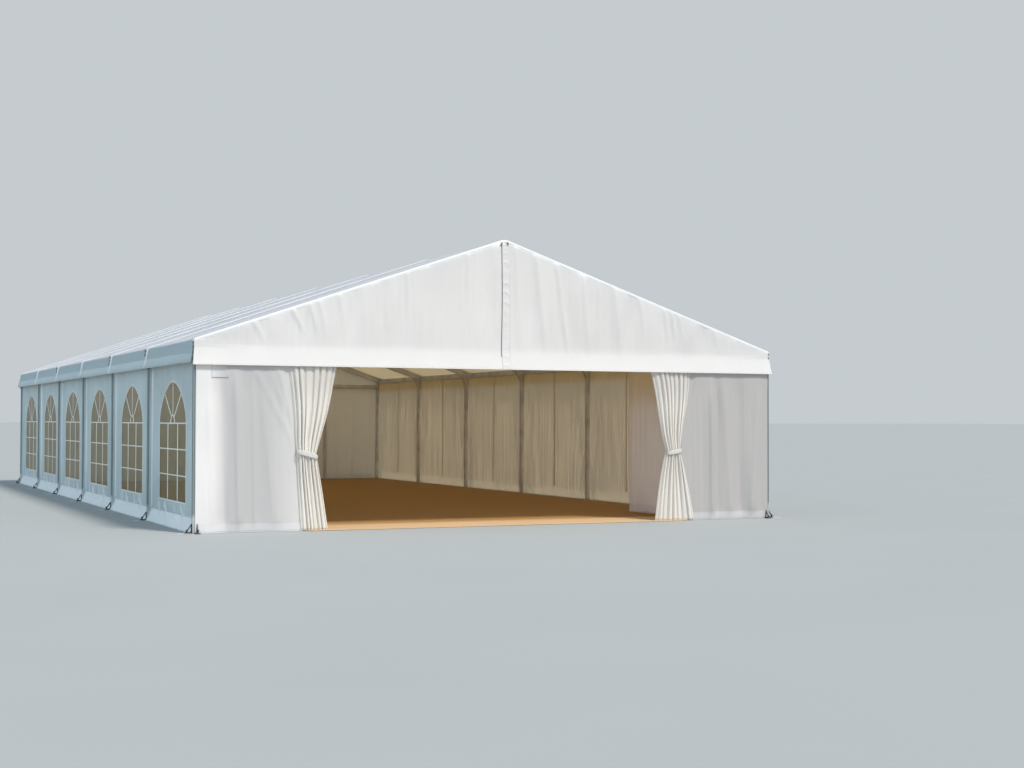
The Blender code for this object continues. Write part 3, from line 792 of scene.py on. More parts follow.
def gable_rails(name, end, posts, node_name):
    """Posts, header rail and their brackets at one end."""
    shape = Shape()
    outward = (0.0, end, 0.0)
    y = end * HALF_LENGTH
    for x in posts:
        top = float(min(soffit(x), soffit(RIDGE_REACH))) - 0.001
        low, high = (x, y + end * 0.025, 0.0), (x, y + end * 0.025, top)
        bar(shape, low, high, outward, 0.05, 0.03, end * SLOPE * np.sign(x))
        shape.block((x, y, HEADER_MIDDLE), (0.10, 0.056, 0.10), chamfer=0.004)
        shape.block((x, y, 0.006), (0.13, 0.09, 0.012), chamfer=0.003)
        for offset in (-0.038, 0.038):
            for z in (HEADER_LOW + 0.012, HEADER_HIGH - 0.012):
                bolt(shape, (x + offset, y - end * 0.028, z), -end, 0.006)
    start, finish = ((x, y + end * 0.023, HEADER_MIDDLE) for x in (-LEG_INNER, LEG_INNER))
    bar(shape, start, finish, outward, 0.046, 0.0375)
    for x in (0.003 - LEG_INNER, LEG_INNER - 0.003):
        shape.block((x, y, HEADER_MIDDLE), (0.006, 0.06, 0.12), chamfer=0.001)
    if end < 0:
        span = (-CURTAIN_BAR_HALF, CURTAIN_BAR_HALF)
        start, finish = ((x, CURTAIN_BAR_Y, CURTAIN_BAR_Z) for x in span)
        bar(shape, start, finish, outward, 0.024, 0.0125)
        start, finish = (fold_place(distance, ARM_Z) for distance in ARM_ENDS)
        bar(shape, start, finish, (0.0, 0.0, 1.0), 0.03, 0.015)
    rails = shape.piece(name, aluminium, "frame_metal")
    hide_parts(node_name)


def fold_place(distance, height, out=0.0):
    """Point on the folded sheet's line, a distance in from the right post's back face."""
    sine, cosine = math.sin(FOLD_SWING), math.cos(FOLD_SWING)
    x = POST_X - 0.045 - distance * sine + out * cosine
    y = -HALF_LENGTH + 0.025 + distance * cosine + out * sine
    return spread(x, y, height)


# Roof: a sheet for each bay with its valances, and covers over the rafters
VALANCE_TOP = 2.556
ROOF_LINE = eased_path(
    [(-4.560, 2.266), (-4.526, 2.400), (-4.500, EAVE), (0.0, RIDGE), (4.500, EAVE),
     (4.526, 2.400), (4.560, 2.266)], [0.05, 0.030, 0.06, 0.030, 0.05], 0.16)


def roof_place(bay, line, y, keep=1.0):
    """Point of a roof sheet; line counts along the roof line, and keep closes the valance's end."""
    start = STATIONS[bay]
    near, far = start + PROFILE_HALF_WIDTH, start + BAY - PROFILE_HALF_WIDTH
    spot = ROOF_LINE[line.astype(int)]
    x, z = spot[..., 0], spot[..., 1]
    side, reach = np.sign(x), np.abs(x)
    share = np.clip((y - near) / (far - near), 0.0, 1.0)
    out = np.maximum(reach - HALF_SPAN, 0.0)
    hang = np.clip(out / 0.060, 0.0, 1.0)
    wave = folds(y, z, ROOF_SEED + bay, 0.35, 1.1)
    valance = out * keep + 0.006 * hang * keep * wave * np.sin(math.pi * share) ** 0.5
    if bay == BAYS[0]:
        valance = valance * (0.35 + 0.65 * ease(y, near, near + 0.9))
    valance = np.where(out > 0.0, np.maximum(valance, 0.001), 0.0)
    slope_share = np.clip(reach / HALF_SPAN, 0.0, 1.0)
    hollow = 4.0 * share * (1.0 - share) * np.sin(math.pi * slope_share) ** 0.8
    edge = np.exp(-np.minimum(share, 1.0 - share) * BAY / 0.16) * np.sin(math.pi * share) ** 0.3
    pucker = 0.003 * folds(reach, y, ROOF_SEED + 50 + bay, 0.18, 0.4) * edge
    broad = 0.003 * folds(y, reach, ROOF_SEED + 20 + bay, 0.9, 2.0) * hollow
    sink = np.where(out > 0.0, 0.0, 0.056 * hollow + np.maximum(pucker, 0.0) + np.abs(broad))
    length = math.hypot(1.0, SLOPE)
    x_out = np.minimum(reach, HALF_SPAN) + valance - sink * SLOPE / length
    return spread(side * x_out, y, z - sink / length)


def valance_rows(side, top=VALANCE_TOP):
    """Places on the roof line of one side's valance, up to a height."""
    return np.flatnonzero((ROOF_LINE[:, 1] <= top) & (side * ROOF_LINE[:, 0] > 0))


def build_roof():
    """Sheet of each bay with its valances, their ends closed over the rafters' faces."""
    index = np.arange(len(ROOF_LINE))
    for bay in BAYS:
        start, end = STATIONS[bay], STATIONS[bay] + BAY
        near, far = start + PROFILE_HALF_WIDTH, end - PROFILE_HALF_WIDTH
        columns = np.concatenate([[near, near + 0.02, near + 0.05],
                                  np.linspace(near + 0.1, far - 0.1, 33),
                                  [far - 0.05, far - 0.02, far]])
        wing = [start + 0.010, start + 0.010, start + 0.010, start + 0.022, near]
        wing_keep = [0.2, 0.6, 1.0, 1.0, 1.0]
        patches = [spread(index[:, None], columns, 1.0)]
        for side in (-1, 1):
            rows = valance_rows(side)[:, None]
            patches.append(spread(rows, wing, wing_keep))
            patches.append(spread(rows, [far, end - 0.025, end - 0.012], 1.0))
        marks, quads = weld(patches)
        shape = Shape()
        shape.shell(roof_place(bay, *marks.T), quads)
        for line in index[[0, -1]]:
            hem = roof_place(bay, line, np.linspace(start + 0.012, end - 0.014, 45))
            shape.tube(hem + (0.0, 0.0, 0.004), 0.0055)
        for side in (-1, 1):
            for y, number in ((start + 0.011, BAYS[0]), (end - 0.013, BAYS[-1])):
                if number == bay:
                    edge = roof_place(bay, valance_rows(side), y)
                    shape.tube(edge + (side * 0.004, 0.0, 0.0), 0.0075)
        sheet = shape.piece("roof_cloth_%d" % (bay + 1), roof_cloth, "roof_cloth")
        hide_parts("roof_sheet_%d" % (bay + 1))
        valance_bands(bay)


def valance_bands(bay):
    """Doubled cloth along the lower part of a bay's two valances."""
    start = STATIONS[bay]
    y = np.linspace(start + 0.016, start + BAY - 0.020, 50)
    shape = Shape()
    for side in (-1, 1):
        grid = roof_place(bay, valance_rows(side, 2.403)[:, None], y)
        shape.grid(grid + (side * 0.0030, 0.0, 0.0), 0.0020)
    return shape.piece("valance_bands_%d" % (bay + 1), band_cloth, "roof_cloth")


def build_rafter_covers():
    """White strips over the joints of the roof sheets; the end ones turn down over the gables."""
    middle = [(-0.052, 0.0005), (-0.038, 0.003), (-0.020, 0.0056), (0.0, 0.0066), (0.020, 0.0056),
              (0.038, 0.003), (0.052, 0.0005)]
    front = [(-0.0385, -0.044), (-0.0425, -0.037), (-0.0446, -0.024), (-0.0450, -0.008),
             (-0.0420, 0.002), (-0.030, 0.0055)] + middle[3:]
    back = [(-y, height) for y, height in front[::-1]]
    eaves = eased_path([(-4.5035, 2.545), (-4.500, EAVE), (0.0, RIDGE), (4.500, EAVE),
                        (4.5035, 2.545)], [0.03, 0.06, 0.03], 0.16)
    for number, station in enumerate(STATIONS, 1):
        turned = number in (1, len(STATIONS))
        section = {1: front, len(STATIONS): back}.get(number, middle)
        y, height = np.array(section).T
        line = eaves if turned else ROOF_LINE
        tangent = np.gradient(line, axis=0)
        tangent /= np.linalg.norm(tangent, axis=1, keepdims=True)
        (x, z), (tx, tz) = line.T[..., None], tangent.T[..., None]
        fall = 0.0 if turned else ease(z, 2.60, 2.52)
        crinkle = 0.0012 * np.sin(37.0 * x + number) * np.sin(11.0 * x) * (np.abs(y) < 0.03)
        lift = (height + crinkle) * (1.0 + 1.8 * fall)
        shape = Shape()
        shape.grid(spread(x - tz * lift, station + y * (1.0 - 0.10 * fall), z + tx * lift))
        cover = shape.piece("rafter_cover_%d" % number, cover_cloth, "roof_cloth")


# Side walls: a cloth panel for each bay, held in the tracks of the legs by its turned edges
WINDOW_HALF = 0.86
WINDOW_SPRING = 1.455
WINDOW_APEX = 2.045
ARCH_POWER = 1.7
FILM_LAP = 0.02
FILM_X = WALL_X - 0.0048
PANEL_HALF = BAY / 2 - PROFILE_HALF_WIDTH - 0.001
SKIRT = 0.20
SKIRT_FLARE = 0.078
RIGHT_EDGE = [(PANEL_HALF - inset, turn) for inset, turn in (
    (0.014, 0.0), (0.005, 0.002), (0.0015, 0.009), (0.0, 0.020), (0.0, 0.034))]
RIGHT_DRAPES = [(1.42, 0.95, 0.05, -0.020), (1.46, 1.12, 0.04, 0.018), (1.30, 0.80, 0.06, 0.012)]
FOLD_LENGTH = 2.2


def arch_height(u, grow=0.0):
    """Height of the window's arch, grown by a margin."""
    share = np.clip(1.0 - np.abs(u / (WINDOW_HALF + grow)) ** ARCH_POWER, 0.0, 1.0)
    return WINDOW_SPRING + (WINDOW_APEX - WINDOW_SPRING + grow) * share ** (1 / ARCH_POWER)


def arch_columns(steps, grow=0.0):
    """Places across the window that divide its arch evenly."""
    cosines = np.cos(np.linspace(math.pi, 0.0, steps + 1))
    return (WINDOW_HALF + grow) * np.sign(cosines) * np.abs(cosines) ** (2 / ARCH_POWER)


def side_point(bay, u, z, x):
    """Point on a side of the tent; u is its place along the bay, from the middle."""
    return spread(x, STATIONS[bay] + BAY / 2 + u, z)


def window_distance(u, z):
    """Rough distance from the window's outline, from outside it."""
    beside = np.maximum(np.abs(u) - WINDOW_HALF, 0.0)
    below = np.maximum(WINDOW_SILL - z, 0.0)
    above = np.maximum(z - arch_height(np.clip(u, -WINDOW_HALF, WINDOW_HALF)), 0.0)
    return np.hypot(beside, np.where(z > WINDOW_SPRING, above, below) * 0.8)


def panel_place(side, bay, u, z, edge, relief):
    """Point of a side wall from its place along the bay, its height and its edge's turn."""
    flare = SKIRT_FLARE * np.clip((SKIRT - z) / SKIRT, 0.0, 1.0) ** 1.7
    if side > 0:
        flare = 0.7 * flare * ease(np.abs(u), PANEL_HALF, PANEL_HALF - 0.16)
    wave = 0.010 * folds(u, z, SKIRT_SEED + bay, 0.3, 0.9) * np.clip((0.16 - z) / 0.16, 0.0, 1.0)
    held = ease(np.abs(u), PANEL_HALF, PANEL_HALF - 0.10)
    out = flare + edge * (1.0 - flare / SKIRT_FLARE) + (relief + np.maximum(wave, -0.01)) * held
    return side_point(bay, u, z, side * (WALL_X + out))


def left_relief(bay, u, z):
    """Close upright ripples that die out at the window, the skirt and the rail."""
    clear = ease(window_distance(u, z), 0.03, 0.16)
    ends = ease(z, WALL_TOP, WALL_TOP - 0.1) * (0.35 + 0.65 * ease(z, 0.05, 0.3))
    close = 0.0120 * folds(u, z, LEFT_SEED + bay, 0.085, 0.15)
    broad = 0.008 * folds(u, z, LEFT_SEED + 20 + bay, 0.4, 0.9)
    fans = ridges(u + FAN_SHIFT * math.sin(FAN_TURN * bay), 1.0 - z / WINDOW_SILL, FANS)
    fans = fans * ease(z, WINDOW_SILL - 0.018, WINDOW_SILL - 0.07) * ease(z, 0.06, 0.20)
    return (close + broad - 0.003) * clear * ends + fans


def right_relief(bay, u, z):
    """Hanging pleats, deepest beside the legs, with a flat seam in the middle of the bay."""
    reach = np.abs(u)
    ends = ease(z, WALL_TOP, WALL_TOP - 0.08) * (0.4 + 0.6 * ease(z, 0.05, 0.3))
    depth = 0.012 + 0.014 * ease(reach, 0.95, 1.32)
    close = depth * folds(u, z, RIGHT_SEED + bay, 0.09, 0.19)
    broad = 0.010 * folds(u, z, RIGHT_SEED + 20 + bay, 0.35, 0.8)
    drapes = ridges(reach, z / FOLD_LENGTH, RIGHT_DRAPES) * ease(z, 2.3, 1.9)
    return (close + broad + drapes - 0.004) * ease(reach, 0.02, 0.06) * ends


def patch_of(columns, heights):
    """Grid of (u, z, turn), its rows going up; heights may differ from column to column."""
    return spread(columns[:, 0], heights, columns[:, 1])


def window_wall_skin():
    """Panel with an arched opening: three patches on each side of it, one below and one above."""
    low = np.array([0.0, 0.02, 0.045, 0.075, 0.105, 0.14, 0.17, 0.2, 0.235, 0.275, 0.32,
                    WINDOW_SILL])
    middle = np.linspace(WINDOW_SILL, WINDOW_SPRING, 17)
    share = np.linspace(0.0, 1.0, 19)
    top = WINDOW_SPRING + (WALL_TOP - WINDOW_SPRING) * share
    flank = np.linspace(WINDOW_HALF, PANEL_HALF - 0.035, 27)
    right = np.array([(u, 0.0) for u in flank] + RIGHT_EDGE)
    left = right[::-1] * (-1.0, 1.0)
    patches = [patch_of(columns, heights[:, None])
               for columns in (left, right) for heights in (low, middle, top)]
    arch = arch_columns(100)
    centre = spread(arch, 0.0)
    over = arch_height(arch) * (1.0 - share[:, None]) + WALL_TOP * share[:, None]
    patches += [patch_of(centre, low[:, None]), patch_of(centre, over)]
    return weld(patches)


def window_outline(grow):
    """Outline of the window grown by a margin: up the left side, over the arch, along the sill."""
    half, sill = WINDOW_HALF + grow, WINDOW_SILL - grow
    arch = arch_columns(72, grow)
    return np.array([(-half, sill), (-half, 0.7), (-half, 1.1), *zip(arch, arch_height(arch, grow)),
                     (half, 1.1), (half, 0.7), (half, sill), (0.0, sill)])


def window_tapes(bay):
    """Welded white tapes: a ring round the window, its glazing bars and its fan."""
    ring = []
    for grow, lift in ((0.016, 0.0010), (0.004, 0.0028), (-0.008, 0.0010)):
        outline = window_outline(grow)
        u, z = np.concatenate([outline, outline[:1]]).T
        ring.append(side_point(bay, u, z, -(WALL_X + lift)))
    points, quads = weld([np.array(ring)[::-1]])
    shape = Shape()
    shape.shell(points, quads, TAPE)
    tape_x = -(FILM_X + 0.0002)
    reach, hub_width, hub_height = WINDOW_HALF + 0.005, 0.125, 0.115
    bars = [((-reach, z), (reach, z), width)
            for z, width in ((WINDOW_SPRING, 0.019), (1.092, 0.017), (0.728, 0.017))]
    bars += [((u, 0.36), (u, 1.46), 0.050) for u in (-0.32, 0.32)]
    bars += [((0.0, 1.565), (0.0, 2.05), 0.030), ((-0.085, 1.545), (-0.535, 1.875), 0.030),
             ((0.085, 1.545), (0.535, 1.875), 0.030)]
    for start, finish, width in bars:
        ends = [side_point(bay, *place, tape_x) for place in (start, finish)]
        shape.tape(*ends, width, (-1.0, 0.0, 0.0))
    turns = np.linspace(math.pi, 0.0, 19)
    hub_z = WINDOW_SPRING + hub_height * np.sin(turns)
    shape.tube(side_point(bay, hub_width * np.cos(turns), hub_z, tape_x - 0.001), 0.009)
    return shape.piece("window_tapes_%d" % (bay + 1), tape_cloth, "wall_cloth")


def window_film_piece(bay):
    """Clear film that laps behind the opening, with slow ripples in it."""
    u = arch_columns(34, FILM_LAP)
    share = np.linspace(0.0, 1.0, 33)[:, None]
    low = WINDOW_SILL - FILM_LAP
    z = low + (arch_height(u, FILM_LAP) - low) * share
    fade = np.sin(math.pi * share) * ease(np.abs(u), WINDOW_HALF, WINDOW_HALF - 0.2)
    x = -FILM_X + 0.002 * np.abs(folds(u, z, FILM_SEED + bay, 0.3, 0.7)) * fade
    grid = side_point(bay, u, z, x)
    shape = Shape()
    shape.add(grid.reshape(-1, 3), grid_quads(*grid.shape[:2]))
    piece = shape.piece("window_film_%d" % (bay + 1), film, "window_film")
    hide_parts("left_window_%d" % (bay + 1))
    return piece


def wall_trim(bay):
    """White welded trim of a left wall: the band along its foot and those beside its edges."""
    top = 0.19
    foot_z = np.array([0.0005, 0.02, 0.045, 0.075, 0.105, 0.14, 0.17, top])
    inset = np.array([0.012, 0.024, 0.046, 0.070, 0.094, 0.110])
    bands = [(np.linspace(-PANEL_HALF + 0.020, PANEL_HALF - 0.020, 120), foot_z, 0.0022)]
    for end in (-1, 1):
        u = end * (PANEL_HALF - inset)[::-end]
        bands.append((u, np.linspace(top, WALL_TOP - 0.01, 40), 0.0030))
    shape = Shape()
    for u, z, lift in bands:
        relief = left_relief(bay, u[:, None], z)
        grid = panel_place(-1, bay, u[:, None], z, 0.0, relief) - (lift, 0.0, 0.0)
        shape.grid(grid[::-1], TAPE)
    return shape.piece("left_wall_trim_%d" % (bay + 1), hem_cloth, "wall_cloth")


def build_left_walls():
    """Walls with windows: the cloth with its trim, then the film with its tapes."""
    marks, quads = window_wall_skin()
    u, z, edge = marks.T
    arch = np.linspace(-WINDOW_HALF, WINDOW_HALF, 401)
    opening = 2 * WINDOW_HALF * (WINDOW_SPRING - WINDOW_SILL)
    opening += float(np.mean(arch_height(arch) - WINDOW_SPRING)) * 2 * WINDOW_HALF
    for bay in BAYS:
        shape = Shape()
        shape.shell(panel_place(-1, bay, u, z, edge, left_relief(bay, u, z)), quads)
        hem_u = np.linspace(-PANEL_HALF + 0.01, PANEL_HALF - 0.01, 50)
        shape.tube(panel_place(-1, bay, hem_u, 0.0, 0.0, 0.0) + (0.002, 0.0, 0.006), 0.0055)
        wall = shape.piece("left_wall_cloth_%d" % (bay + 1), left_cloth, "wall_cloth")
        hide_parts("left_wall_%d" % (bay + 1))
        wall_trim(bay)
        clear = window_film_piece(bay)
        window_tapes(bay)


def build_right_walls():
    """Plain walls with pleats and a taped seam in the middle of each."""
    inner = np.linspace(-PANEL_HALF + 0.035, PANEL_HALF - 0.035, 150)
    left_edge = [(-u, turn) for u, turn in RIGHT_EDGE[::-1]]
    columns = np.array(left_edge + [(u, 0.0) for u in inner] + RIGHT_EDGE)
    heights = np.concatenate([[0.0, 0.03, 0.07, 0.11, 0.15, 0.2, 0.25],
                              np.linspace(0.32, WALL_TOP, 30)])
    u, z, edge = np.moveaxis(patch_of(columns, heights[:, None]), -1, 0)
    for bay in BAYS:
        shape = Shape()
        shape.grid(panel_place(1, bay, u, z, edge, right_relief(bay, u, z)), flip=True)
        ends = panel_place(1, bay, 0.0, np.array([0.22, WALL_TOP - 0.005]), 0.0, 0.0)
        for out, face in ((0.0005, 1.0), (-CLOTH - 0.0005, -1.0)):
            shape.tape(*(ends + (out, 0.0, 0.0)), 0.045, (face, 0.0, 0.0))
        wall = shape.piece("right_wall_cloth_%d" % (bay + 1), right_cloth, "wall_cloth")
        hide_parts("right_wall_%d" % (bay + 1))


# Gables: two halves that meet under a lapped strip, with a leaning flap at the bottom
LONG_FOLDS = [
    (0.82, 1.05, 0.035, 0.022), (0.49, 0.68, 0.050, 0.017), (1.25, 1.38, 0.045, 0.017),
    (0.16, 0.26, 0.040, 0.012), (-0.13, -0.46, 0.050, 0.018), (-0.56, -0.66, 0.035, 0.010),
    (1.78, 1.92, 0.050, 0.010), (-1.20, -1.30, 0.060, 0.010), (-1.95, -1.90, 0.060, 0.010)]
SHORT_FOLDS = [
    (2.62, 2.78, 0.030, 0.017), (2.75, 2.90, 0.028, 0.016), (2.89, 3.02, 0.030, 0.014),
    (2.20, 2.34, 0.030, 0.012), (3.50, 3.66, 0.040, 0.012), (-3.16, -2.80, 0.034, 0.017),
    (-2.91, -2.70, 0.028, 0.016), (-2.78, -2.60, 0.026, 0.014), (-2.49, -2.36, 0.030, 0.013),
    (-3.70, -3.40, 0.035, 0.012), (-1.50, -1.44, 0.030, 0.010)]
CORNER_FOLDS = [(-0.10, 0.05, 0.025, 0.004), (0.02, 0.09, 0.03, 0.003)]


def gable_place(end, x, row, lift=0.0):
    """Point of a gable cloth; row is 0 at the hem, 1 at the bend and 2 at the rafter."""
    seed = GABLE_SEED if end < 0 else GABLE_SEED + 50
    flap = np.clip(1.0 - row, 0.0, 1.0)
    rise = np.clip(row - 1.0, 0.0, 1.0)
    top = roof_height(x) - 0.006
    z = GABLE_BEND - (GABLE_BEND - GABLE_HEM) * flap + (top - GABLE_BEND) * rise
    corner = np.abs(x) / HALF_SPAN
    share = np.clip((z - GABLE_HEM) / (top - GABLE_HEM), 0.0, 1.0)
    down = 1.0 - share
    soft = 0.014 * folds(x, z, seed, 0.30, 0.90) + 0.0030 * folds(x, z, seed + 5, 0.10, 0.22)
    soft = (soft + 0.006) * np.sin(math.pi * share) ** 0.7 * ease(z, 2.40, 2.95)
    pulls = 0.012 * np.maximum(folds(x, 0.5 * z, seed + 7, 0.075, 0.16), 0.0) ** 1.3
    pulls = pulls * share ** 2.2 * ease(down, 0.0, 0.16) * ease(corner, 0.05, 0.3)
    single = ridges(-end * x, down, LONG_FOLDS) * ease(down, 0.90, 0.62)
    single = single + ridges(-end * x, down, SHORT_FOLDS) * ease(down, 0.60, 0.15)
    pulls = pulls + single * ease(down, 0.0, 0.05)
    pulls = pulls + ridges(z - GABLE_BEND, corner, CORNER_FOLDS) * ease(corner, 0.80, 0.97)
    lean = np.clip((GABLE_BEND + 0.05 - z) / (GABLE_BEND + 0.05 - GABLE_HEM), 0.0, 1.0) ** 1.2
    hem_wave = 0.004 * folds(x, z, seed + 9, 0.5, 1.2) * flap
    out = 0.047 * lean + soft + pulls + hem_wave + lift
    stretch = x * (1.0 + 0.022 / HALF_SPAN * flap * corner ** 2)
    return spread(stretch, end * (GABLE_Y + out), z)


def build_gable(end, place):
    """The two halves of a gable with their hems, and the lap over their join."""
    rows = np.concatenate([np.linspace(0.0, 0.9, 9), [0.96, 1.0, 1.03, 1.07],
                           np.linspace(1.12, 2.0, 24)])
    across = np.concatenate([np.linspace(0.001, 4.40, 210), [4.44, 4.47, 4.49, 4.499]])
    for side, word in ((-1, "left"), (1, "right")):
        x = side * across
        shape = Shape()
        shape.grid(gable_place(end, x[:, None], rows), flip=side * end > 0)
        shape.tube(gable_place(end, x, 0.0) + (0.0, 0.0, 0.004), 0.007)
        half = shape.piece("gable_cloth_%s_%s" % (place, word), gable_cloth, "wall_cloth")
        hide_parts("%s_gable_%s" % (place, word))
    build_join(end, place)


def build_join(end, place):
    """Strip that laps over the join of the two halves, beside a dark zip."""
    rows = np.concatenate([np.linspace(0.0, 0.9, 12), np.linspace(1.0, 1.97, 90)])
    across = -end * np.array([-0.052, -0.042, -0.020, 0.020, 0.055, 0.080])[:, None]
    free = np.array([0.1, 0.4, 0.8, 1.0, 1.0, 0.8])[:, None]
    grid = gable_place(end, across, rows, 0.004)
    crinkle = 0.0085 * folds(grid[..., 2] + 0.9 * np.abs(across), across, JOIN_SEED, 0.06, 0.16)
    grid[..., 1] += end * np.maximum(crinkle, -0.001) * free
    shape = Shape()
    shape.grid(grid)
    lap = shape.piece("gable_lap_%s" % place, gable_cloth, "wall_cloth")
    zip_x = end * 0.058
    strip = zip_x - end * np.array([-0.005, 0.0, 0.005])[:, None]
    zip_shape = Shape()
    zip_shape.grid(gable_place(end, strip, rows[10:], 0.0025), 0.002)
    for row in np.linspace(0.84, 1.96, 150):
        tooth = gable_place(end, zip_x, row, 0.0035)
        zip_shape.block(tooth, (0.005, 0.002, 0.004), chamfer=0.0005)
    zip_shape.piece("gable_zip_%s" % place, fitting, "wall_cloth")


# End walls, between the legs and the posts. The tall folds of these walls, of the gables and of
# the right walls are listed as ridges() takes them.
LEFT_FOLDS = [
    (-4.22, -4.30, 0.05, 0.014), (-4.06, -4.12, 0.05, -0.016), (-3.88, -3.94, 0.035, 0.018),
    (-3.66, -3.70, 0.030, 0.018), (-3.78, -3.82, 0.04, -0.014), (-3.36, -3.62, 0.05, 0.010),
    (-2.64, -3.46, 0.035, 0.015)]
RIGHT_FOLDS = [
    (3.46, 3.44, 0.035, 0.030), (3.26, 3.22, 0.04, 0.016), (3.80, 3.66, 0.06, 0.020),
    (4.16, 4.30, 0.06, 0.026), (3.58, 3.56, 0.05, -0.024), (4.00, 3.96, 0.07, -0.018)]
BACK_FOLDS = {
    "left": [(-3.30, -3.16, 0.05, 0.022), (-4.10, -4.28, 0.05, 0.020), (-3.70, -3.74, 0.07, -0.016)],
    "middle_left": [(-2.76, -2.88, 0.05, 0.022), (-2.20, -2.14, 0.06, -0.018),
                    (-1.02, -0.94, 0.05, 0.020), (-0.30, -0.14, 0.04, 0.022)],
    "middle_right": [(0.34, 0.16, 0.04, 0.022), (1.04, 1.10, 0.06, -0.020),
                     (2.10, 2.02, 0.05, 0.020), (2.68, 2.86, 0.05, 0.022)],
    "right": [(3.28, 3.14, 0.05, 0.022), (3.78, 3.82, 0.06, -0.018), (4.08, 4.26, 0.05, 0.022)]}
PULLED_FOLDS = [(-2.737, -3.356, 0.022, 0.015), (-2.463, -3.683, 0.030, 0.013)]


def end_wall_place(end, x, z, marks, seed):
    """Point of an end wall; the front ones lap over the faces of the leg and of the post."""
    flare = 0.018 * np.clip((0.12 - z) / 0.12, 0.0, 1.0) ** 1.2
    soft = 0.022 * folds(x, z, seed, 0.35, 0.9) + 0.0020 * folds(x, z, seed + 3, 0.07, 0.14)
    held = ease(z, 2.30, 1.70) * (0.35 + 0.65 * ease(z, 0.02, 0.2))
    forward = 0.0
    if end < 0:
        reach = np.abs(x)
        clear = POST_X + np.where(x < 0.0, 0.215, 0.115)
        held = held * ease(reach, LEG_INNER + 0.06, LEG_INNER - 0.12)
        held = held * ease(reach, clear, clear + 0.12)
        forward = 0.0238 + ease(reach, clear, clear + 0.07) * (0.0117 + 0.007 * ease(z, 1.9, 2.2))
        pulled = ridges(x, z / FOLD_LENGTH, PULLED_FOLDS) * ease(z, 2.34, 2.10) * ease(z, 1.0, 1.4)
        forward = forward + pulled * ease(reach, 3.12, 3.20)
    single = ridges(x, z / FOLD_LENGTH, marks)
    out = 0.004 + flare * (1.0 - np.minimum(forward / 0.0355, 1.0)) + (soft + single) * held
    return spread(x, end * (HALF_LENGTH + out + forward), z)


def end_wall(end, word, low, high, marks, seed, seam=None):
    """Wall of a front corner or of the back, with its hem, its stitches and a seam if it has one."""
    place, cloth = ("front", corner_cloth) if end < 0 else ("back", end_cloth)
    spacing, hem_z, stitch_z = 0.018, 0.006, 0.126
    x = np.linspace(low, high, int((high - low) / spacing))
    z = np.concatenate([[0.001, 0.03, 0.06, 0.09, 0.12, 0.15, 0.2], np.linspace(0.27, 2.344, 34)])
    shape = Shape()
    shape.grid(end_wall_place(end, x[:, None], z, marks, seed), flip=end > 0)
    shape.tube(end_wall_place(end, x, hem_z, marks, seed), 0.0055)
    stitches = end_wall_place(end, x, stitch_z, marks, seed)
    shape.tube(stitches + (0.0, end * 0.0006, 0.0), 0.0018, 6)
    if seam is not None:
        near = np.linspace(seam - 0.02, seam + 0.02, 5)
        for lift in (0.0010, -CLOTH - 0.0030):
            strip = end_wall_place(end, near[:, None], z[1:-1], marks, seed)
            shape.grid(strip + (0.0, end * lift, 0.0), TAPE, flip=end > 0)
    wall = shape.piece("%s_wall_cloth_%s" % (place, word), cloth, "wall_cloth")
    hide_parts("%s_wall_%s" % (place, word))
    return wall


def build_end_walls():
    """Two front corner walls, one of them with a patch, and four back walls."""
    outer, edge, post, lap, post_return = 4.472, LEG_INNER - 0.0003, 0.0303, 0.031, 0.045
    left = end_wall(-1, "left", -outer, -POST_X + lap, LEFT_FOLDS, END_SEED)
    end_wall(-1, "right", POST_X - lap - post_return, outer, RIGHT_FOLDS, END_SEED + 5)
    spans = [(-edge, -POST_X - post), (-POST_X + post, -post), (post, POST_X - post),
             (POST_X + post, edge)]
    for index, ((low, high), (word, marks)) in enumerate(zip(spans, BACK_FOLDS.items())):
        seam = 0.5 * (low + high) if "middle" in word else None
        end_wall(1, word, low, high, marks, END_SEED + 30 + 4 * index, seam)
    patch_x, patch_z = np.linspace(-4.262, -4.032, 12)[:, None], np.linspace(2.060, 2.240, 10)
    grid = end_wall_place(-1, patch_x, patch_z, LEFT_FOLDS, END_SEED)
    shape = Shape()
    shape.grid(grid - (0.0, 0.0020, 0.0))
    patch = shape.piece("front_wall_patch", corner_cloth, "wall_cloth")


# Curtains at the front opening, gathered by ties
TIE_Z = 1.04
TIE_HALF = 0.034
PLEAT_STEPS = 22
CURTAIN_TOP = 2.324
CURTAIN_FOOT = 0.0128
CURTAIN_BACK = -9.0292
LEFT_CURTAIN = {"top": (-2.855, 0.705), "tie": (-2.952, 0.280), "foot": (-2.835, 0.39),
                "slant": -0.27, "pleats": 7, "seed": 3, "tie_length": 0.78}
RIGHT_CURTAIN = {"top": (2.742, 0.715), "tie": (2.776, 0.236), "foot": (2.812, 0.68),
                 "slant": 0.16, "pleats": 8, "seed": 8, "tie_length": 0.70}


def curtain_form(form, z):
    """Centre, width and depth of the gathered cloth at a height."""
    above = np.clip((z - TIE_Z) / (CURTAIN_TOP - TIE_Z), 0.0, 1.0)
    below = np.clip((TIE_Z - z) / (TIE_Z - CURTAIN_FOOT), 0.0, 1.0)
    (top_x, top_w), (tie_x, tie_w), (foot_x, foot_w) = (form[key] for key in ("top", "tie", "foot"))
    middle = tie_x + (top_x - tie_x) * above + (foot_x - tie_x) * below
    width = tie_w + (top_w - tie_w) * above ** 0.92 + (foot_w - tie_w) * below ** 0.75
    depth = 0.092 - 0.056 * above ** 1.5 - 0.034 * below ** 0.8
    return middle, width, depth


